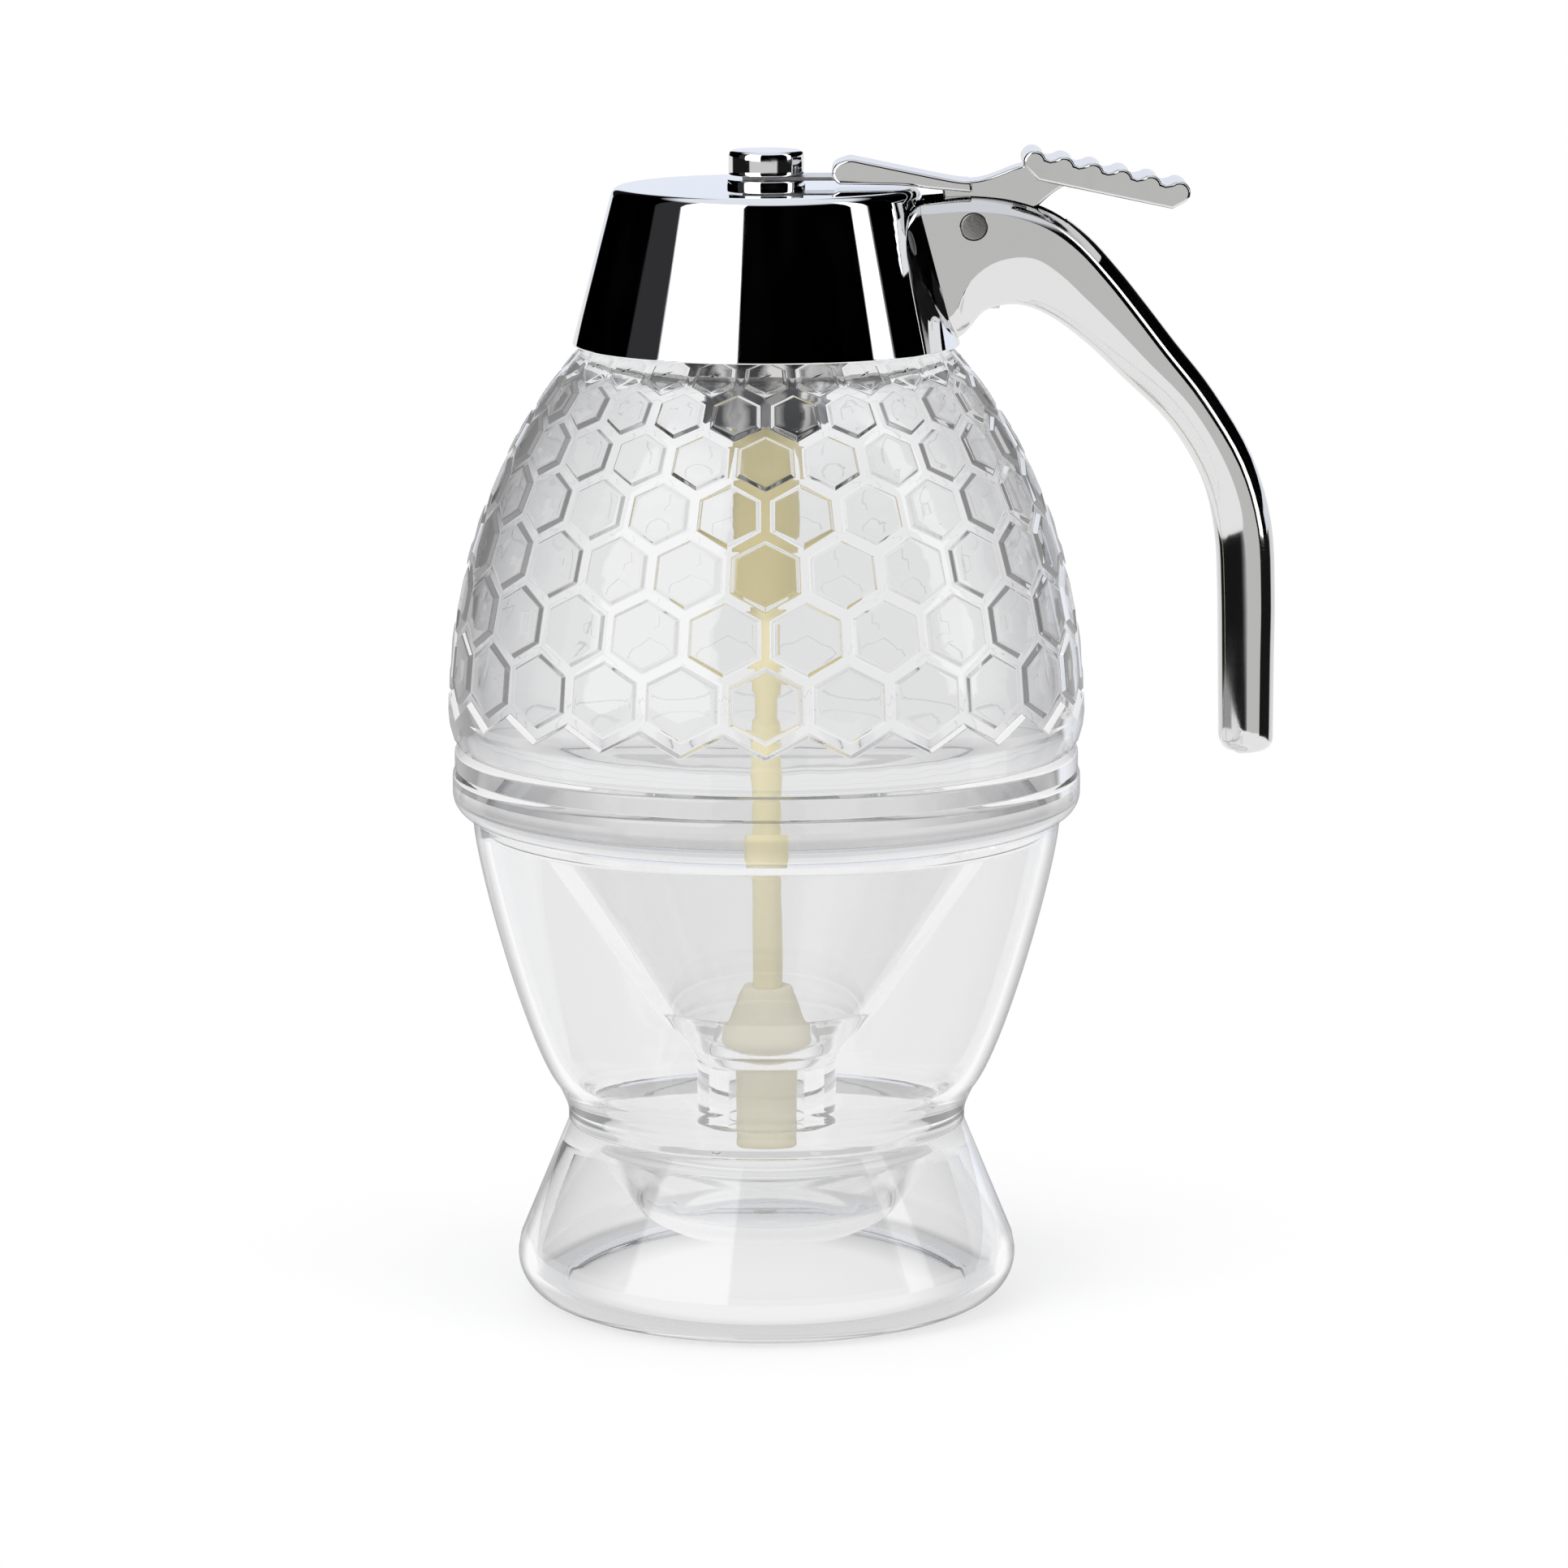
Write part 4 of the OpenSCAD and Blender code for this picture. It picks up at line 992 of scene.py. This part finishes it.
def handleSection(depth, crease, half):
    # half of the section: in from the outer point, and out to the side
    crease = max(crease, handle["sharpCrease"])
    side = [(0, 0.2), (0.06, 0.34), (0.22, 0.52), (0.5, 0.68), (0.95, 0.83), (1.5, 0.94), (2.1, 1),
            (crease - 0.25, 1), (crease + 0.1, 0.985), (crease + 0.45, 0.95), (mix(crease, depth, 0.6), 0.78),
            (depth - 0.75, 0.66), (depth - 0.35, 0.58), (depth - 0.08, 0.42), (depth, 0.2)]
    return [(s, half * y) for s, y in side] + [(s, -half * y) for s, y in reversed(side)]


def makeHandle(h):
    outer, inner, creases = (list(column) for column in zip(*handleStations))
    creases = [(crease, 0) for crease in creases]
    last = len(handleStations) - 1
    steps = [(k / h["perStation"], 0, 0) for k in range(last * h["perStation"] + 1)]
    steps += [(last, shrink, drop) for shrink, drop in h["tipRounding"]]
    sections = []
    for t, shrink, drop in steps:
        o, i = through(outer, t), through(inner, t)
        depth = (i - o).length
        along = (i - o) / depth
        crease = depth * through(creases, t)[0] - shrink
        section = []
        for s, y in handleSection(depth - 2 * shrink, crease, h["width"] / 2 - shrink):
            p = o + along * (s + shrink)
            section.append((lid["topRadius"] + p.x, y, level["lidTop"] + p.y - drop))
        sections.append(section)
    piece = lofted("handleArm", sections, angle=h["smooth"])
    space = [(lidRadius(z) + h["fit"], z) for z in (level["lidMouth"] - 10, level["lidTop"] + 10)]
    combine(piece, turned("lidSpace", space, 256, hollow=False), "DIFFERENCE")
    length = lid["topRadius"] + h["slotLength"]
    cutBox(piece, (length / 2 * mm, 0, (pinPlace()[1] + h["slotRise"]) * mm),
           (length * mm, h["slotWidth"] * mm, h["slotHeight"] * mm))
    drillForPin(piece, h["pinPlay"], 64)
    return smoothUpTo(piece, h["smooth"])


def makePin(fit=0.02):
    x, z, radius, length = pinPlace()
    outer, end = radius - fit, length / 2
    profile = softened([(0.2, -end), (outer, -end, 0.3), (outer, end, 0.3), (0.2, end)], closed=False)
    pin = turned("hingePin", profile, 64, hollow=False)
    pick(pin)
    bpy.ops.transform.rotate(value=math.radians(90), orient_axis="X", center_override=(0, 0, 0))
    bpy.ops.transform.translate(value=(x * mm, 0, z * mm))
    return settle(pin)


finishPiece(makeHandle(handle), "lid", "handle", "chrome", "handle")
finishPiece(makePin(), "lid", "pin", "steel", "pivot_pin")


lever = dict(
    noseWidth=8.0,
    stemWidth=5.6,
    padWidth=11.0,
    bumps=6,
    bumpRadius=1.45,
    bumpPitch=3.76,
    padSlope=12.0,
    hub=3.2,
    noseBack=11.2,
    padAhead=(14.5, 3.45),
    padDepth=2.2,
    edge=0.35,
    stemEdge=0.3,
    pinPlay=0.05,
    forkPlay=0.02,
    smooth=32,
)


def makeLever(v):
    top, edge = level["lidTop"], lid["topRadius"]
    pinX, pinZ = pinPlace()[:2]
    noseX = edge - v["noseBack"]
    nose = arc((noseX + 1.5, top + 1.9), 1.5, 250, 120, 8)
    nose += softened([nose[-1], (noseX + 2.3, top + 3.75, 0.5), (pinX - 2.2, top + 0.95, 3.0),
                      (pinX - 0.2, top + 0.85), (pinX - 0.2, top - 0.55), (edge + 1.4, top - 0.1, 0.8),
                      (edge - 1.5, top + 0.35, 2.0), nose[0]], closed=False, steps=4)[1:-1]
    body = prism("thumbLever", nose, v["noseWidth"], v["edge"])
    padX, padZ = edge + v["padAhead"][0], top + v["padAhead"][1]
    stem = [(pinX - 4, top + 0.2), (pinX - 2.2, top + 0.9)]
    stem += bezier((pinX - 0.2, top + 0.85), (pinX + 2.4, top + 1), (pinX + 4.2, top + 2.4),
                   (padX - 1.2, padZ - 0.6), 10)
    stem += bezier((padX + 5.4, padZ - 2.6), (padX + 3.2, padZ - 3.3), (padX + 1.8, padZ - 4.6),
                   (pinX + 8.4, top - 2.2), 8)
    stem += arc((pinX, pinZ), v["hub"], -20, -160, 16)
    combine(body, prism("stem", stem, v["stemWidth"], v["stemEdge"]), "UNION")
    combine(body, prism("pad", padOutline(v, (padX, padZ)), v["padWidth"], v["edge"], angle=50), "UNION")
    drillForPin(body, v["pinPlay"], 48)
    low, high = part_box("lift_fork")
    play = Vector((0, v["forkPlay"], v["forkPlay"])) * mm
    cutBox(body, (low + high) / 2, high - low + play)
    return smoothUpTo(body, v["smooth"])


def padOutline(v, start):
    # a row of half round bumps with notches between them, over a flat back
    slope, last = math.radians(v["padSlope"]), v["bumps"] - 1
    along = Vector((math.cos(slope), -math.sin(slope)))
    down = Vector((-math.sin(slope), -math.cos(slope)))
    start, outline = Vector(start), []
    for k in range(v["bumps"]):
        centre = start + along * k * v["bumpPitch"]
        first, end = (196 if k == 0 else 140 - v["padSlope"]), (-60 if k == last else 16)
        outline += arc(centre, v["bumpRadius"], first, end, 9)
        if k < last:
            outline.append(tuple(centre + along * v["bumpPitch"] / 2 - down * 0.62))
    back = down * v["padDepth"]
    return outline + [tuple(centre + back - along * 0.4), tuple(start + back + along * 0.9)]


finishPiece(makeLever(lever), "lever", "handle", "chrome", "lever")


knob = dict(
    radius=4.8,
    stem=1.9,
    stud=1.05,
    stemHeight=2.0,
)


def makeKnob(k):
    base, top, low = level["knob"], highest("knob"), lowest("knob")
    stemLow = base - k["stemHeight"]
    profile = softened(
        [(0.3, low), (k["stud"], low, 0.2), (k["stud"], stemLow), (k["stem"], stemLow), (k["stem"], base),
         (k["radius"], base, 0.3), (k["radius"], top, 0.75), (2.0, top), (0.3, top)], closed=False, steps=6)
    return turned("liftKnob", profile, 96, hollow=False)


rod = dict(
    radius=1.9,
    stud=1.05,
    studHole=7.0,
    clipGroove=(0.4, 0.6),      # depth and height
)


def makeRod(r):
    low, top, clip = lowest("valve_rod"), highest("valve_rod"), level["washer"]
    outer, hole = r["radius"], top - r["studHole"]
    depth, height = r["clipGroove"]
    profile = [(0.2, low), (outer, low), (outer, clip - height), (outer - depth, clip - height),
               (outer - depth, clip), (outer, clip), (outer, top), (r["stud"], top), (r["stud"], hole),
               (0.2, hole)]
    return turned("liftRod", softened(profile, closed=False), 48, hollow=False)


stopper = dict(
    radius=6.0,
    tipRadius=4.0,
    fit=0.02,
)


def makeStopper(s):
    low, top, outer, inner = lowest("stopper"), highest("stopper"), s["radius"], rod["radius"]
    seat = level["outlet"] + jar["outletHeight"] + jar["seat"]
    wide = seat + 0.9
    profile = softened([(0.3, low), (s["tipRadius"], low, 1.0), (s["tipRadius"], seat - 1.2, 0.8),
                        (outer - 0.2, wide, 0.6), (outer, wide + 0.9, 0.6)], closed=False, steps=5)
    profile += bezier((outer - 0.3, wide + 1.8), (outer - 1.2, wide + 3.4), (inner + 2.4, top - 2.6),
                      (inner + 1.4, top - 0.2), 10)
    profile += [(inner + 1.2, top), (inner + s["fit"], top), (inner + s["fit"], seat + 2)]
    return turned("sealStopper", profile, 64, hollow=False)


spring = dict(
    coils=8,
    radius=3.2,
    wire=0.8,
    stepsPerCoil=28,
)


def makeSpring(s):
    # one section of the wire, wound up the rod
    low, high, wire = highest("spring_washer"), lowest("rod_bush"), s["wire"]
    deselectAll()
    bpy.ops.mesh.primitive_circle_add(vertices=10, radius=wire / 2 * mm, rotation=(math.radians(90), 0, 0),
                                      location=(s["radius"] * mm, 0, (low + wire / 2) * mm))
    piece = bpy.context.object
    piece.name = piece.data.name = "returnSpring"
    bpy.ops.object.transform_apply(location=True, rotation=True, scale=True)
    wind = piece.modifiers.new("wind", "SCREW")
    wind.angle = s["coils"] * 2 * math.pi
    wind.screw_offset = (high - low - wire) * mm
    wind.steps = wind.render_steps = s["coils"] * s["stepsPerCoil"]
    applyAll(piece)
    bpy.ops.object.mode_set(mode="EDIT")
    closeEnds()
    return settle(piece)


finishPiece(makeKnob(knob), "valve", "knob", "chrome", "knob")
finishPiece(makeRod(rod), "valve", "cream", "cream_plastic", "valve_rod")
finishPiece(makeStopper(stopper), "valve", "stopper", "cream_plastic", "stopper")
coil = finishPiece(makeSpring(spring), "lid", "steel", "steel", "return_spring")
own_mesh(coil)

for node in ("handle_screws", "lift_fork", "spring_washer", "rod_clip"):
    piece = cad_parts[node]
    piece.data.materials.clear()
    piece.data.materials.append(finishes["steel"])


studio = dict(
    floorRadius=0.3,
    clearRadius=0.1,
    floorRoughness=0.6,
    leastGlow=0.35,
    lampSize=0.6,
    aim=(0, 0, 0.08),
    lamps=dict(keyLamp=((-0.6, -0.7, 0.8), 9), fillLamp=((0.8, -0.4, 0.5), 4)),     # place and power
)
sky, paper = (0.8, 0.84, 0.93), (0.62, 0.62, 0.61)
# what shines round the object: a turn in degrees from the camera's side, and the brightness from there on
bands = [(-180, sky), (-158, 0), (-92, (0.03, 0.03, 0.032)), (-67.5, 2.2), (-17.5, 0), (68.5, 2.2), (82.5, 0),
         (112.5, sky)]
# brightness by share: of a whole turn, but for the ceiling of the way from level to straight up, and for the
# floor that shows through the plastic of 100 mm
glows = dict(
    ceiling=[(0.72, 0), (0.82, 1)],
    back=[(0.0, sky), (0.03, sky), (0.035, 0.01), (0.1, 0), (0.9, 0), (0.965, 0.01), (0.97, sky)],
    sides=[(0.07, 1), (0.08, 0), (0.8, 0), (0.81, 1)],
    front=[(0.0, 0.8), (0.14, 0.8), (0.16, 0.01), (0.35, 0.01), (0.36, paper), (0.59, paper), (0.60, 0.01),
           (0.84, 0.01), (0.86, 0.8)],
    # painted shadow: through the plastic the floor greys in a ring under the foot's rim, from 27 to 32 mm out
    floor=[(0.0, 0.97), (0.2, 0.93), (0.27, 0.68), (0.32, 0.68), (0.35, 1)],
)


def makeWorld():
    world = bpy.data.worlds.new("studio")
    bpy.context.scene.world = world
    world.use_nodes = True
    tree = world.node_tree
    direction = tree.nodes.new("ShaderNodeTexCoord").outputs["Generated"]
    x, y, z = newNode(tree, "ShaderNodeSeparateXYZ", Vector=direction).outputs
    turn = addMath(tree, "ARCTAN2", x, addMath(tree, "MULTIPLY", y, -1.0))
    share = addMath(tree, "ADD", addMath(tree, "DIVIDE", turn, 2 * math.pi), 0.5)
    stops = []
    for (angle, colour), end in zip(bands, [band[0] for band in bands[1:]] + [180]):
        stops += [((angle + 180.6) / 360, colour), ((end + 179.4) / 360, colour)]
    around = addRamp(tree, share, stops)
    ceiling = addRamp(tree, z, glows["ceiling"])
    # from 3 degrees up only what is straight behind shines, apart from the sides, and below the floor's edge
    # only the front
    back, sides, front = (addRamp(tree, share, glows[part]) for part in ("back", "sides", "front"))
    raised = addMath(tree, "MULTIPLY", addMath(tree, "GREATER_THAN", z, 0.06), sides)
    upper = addMix(tree, ceiling, addMix(tree, raised, around, back), (0.78, 0.8, 0.84))
    glossy = addMix(tree, addMath(tree, "LESS_THAN", z, -0.02), upper, front)
    path = tree.nodes.new("ShaderNodeLightPath").outputs
    mirrored = addMath(tree, "GREATER_THAN", path["Glossy Depth"], 0.5)
    contrast = addMath(tree, "ADD", addMath(tree, "MULTIPLY", mirrored, 0.6), 0.1)
    seenThrough = addMix(tree, contrast, 1.0, upper)
    seenThrough.node.clamp_result = True
    inside = addMath(tree, "MAXIMUM", addMath(tree, "GREATER_THAN", path["Transmission Depth"], 0.5),
                     path["Is Transmission Ray"])
    colour = addMix(tree, path["Is Glossy Ray"], (0.72, 0.72, 0.73), glossy)
    colour = addMix(tree, inside, colour, seenThrough)
    colour = addMix(tree, path["Is Camera Ray"], colour, 1.0)
    setInputs(tree.nodes["Background"], Color=colour)


def makeFloor(s):
    deselectAll()
    bpy.ops.mesh.primitive_circle_add(vertices=128, radius=s["floorRadius"], fill_type="NGON")
    floor = bpy.context.object
    floor.name = "floor"
    material = bpy.data.materials.new("paleFloor")
    material.use_nodes = True
    tree = material.node_tree
    shader = setInputs(tree.nodes["Principled BSDF"], Base_Color=asColour(0.9), Roughness=s["floorRoughness"])
    length = tree.nodes.new("ShaderNodeVectorMath")
    length.operation = "LENGTH"
    tree.links.new(tree.nodes.new("ShaderNodeTexCoord").outputs["Object"], length.inputs[0])
    out = length.outputs["Value"]
    fade = newNode(tree, "ShaderNodeMapRange", Value=out, From_Min=s["clearRadius"] * 0.2,
                   From_Max=s["clearRadius"], To_Min=s["leastGlow"])
    fade.interpolation_type = "SMOOTHSTEP"
    path = tree.nodes.new("ShaderNodeLightPath").outputs
    seen = addMath(tree, "MAXIMUM", path["Is Camera Ray"], path["Is Glossy Ray"])
    inside = addMath(tree, "GREATER_THAN", path["Transmission Depth"], 0.5)
    white = addMath(tree, "MAXIMUM", addMath(tree, "MULTIPLY", seen, fade.outputs["Result"]), inside)
    # through the plastic the floor shows white, with a painted shadow: grey in a ring where the foot stands
    # on it
    under = addRamp(tree, addMath(tree, "MULTIPLY", out, 1 / s["clearRadius"]), glows["floor"])
    glow = newNode(tree, "ShaderNodeEmission", Color=addMix(tree, inside, 1.0, under), Strength=1.0)
    blendShaders(tree, white, shader.outputs["BSDF"], glow.outputs["Emission"])
    floor.data.materials.append(material)


def makeLamp(name, place, aim, size, power):
    way = Vector(aim) - Vector(place)
    bpy.ops.object.light_add(type="AREA", location=place, rotation=way.to_track_quat("-Z", "Y").to_euler())
    lamp = bpy.context.object
    lamp.name = name
    lamp.data.size = size
    lamp.data.energy = power
    lamp.visible_glossy = lamp.visible_camera = lamp.visible_transmission = False


cameraPlace = dict(
    distance=820.0,
    height=214.264,
    side=2.28,
    tilt=10.15,
    lens=147.23,
    sensor=36.0,
)


def makeCamera(c):
    bpy.ops.object.camera_add(location=(c["side"] * mm, -c["distance"] * mm, c["height"] * mm),
                              rotation=(math.radians(90 - c["tilt"]), 0, 0))
    camera = bpy.context.object
    camera.data.lens = c["lens"]
    camera.data.sensor_width = c["sensor"]
    camera.data.sensor_fit = "HORIZONTAL"
    camera.data.clip_start, camera.data.clip_end = 0.05, 20
    bpy.context.scene.camera = camera


makeWorld()
makeFloor(studio)
for name, (place, power) in studio["lamps"].items():
    makeLamp(name, place, studio["aim"], studio["lampSize"], power)
makeCamera(cameraPlace)
bpy.context.scene.view_settings.view_transform = "Standard"
print("studio set")
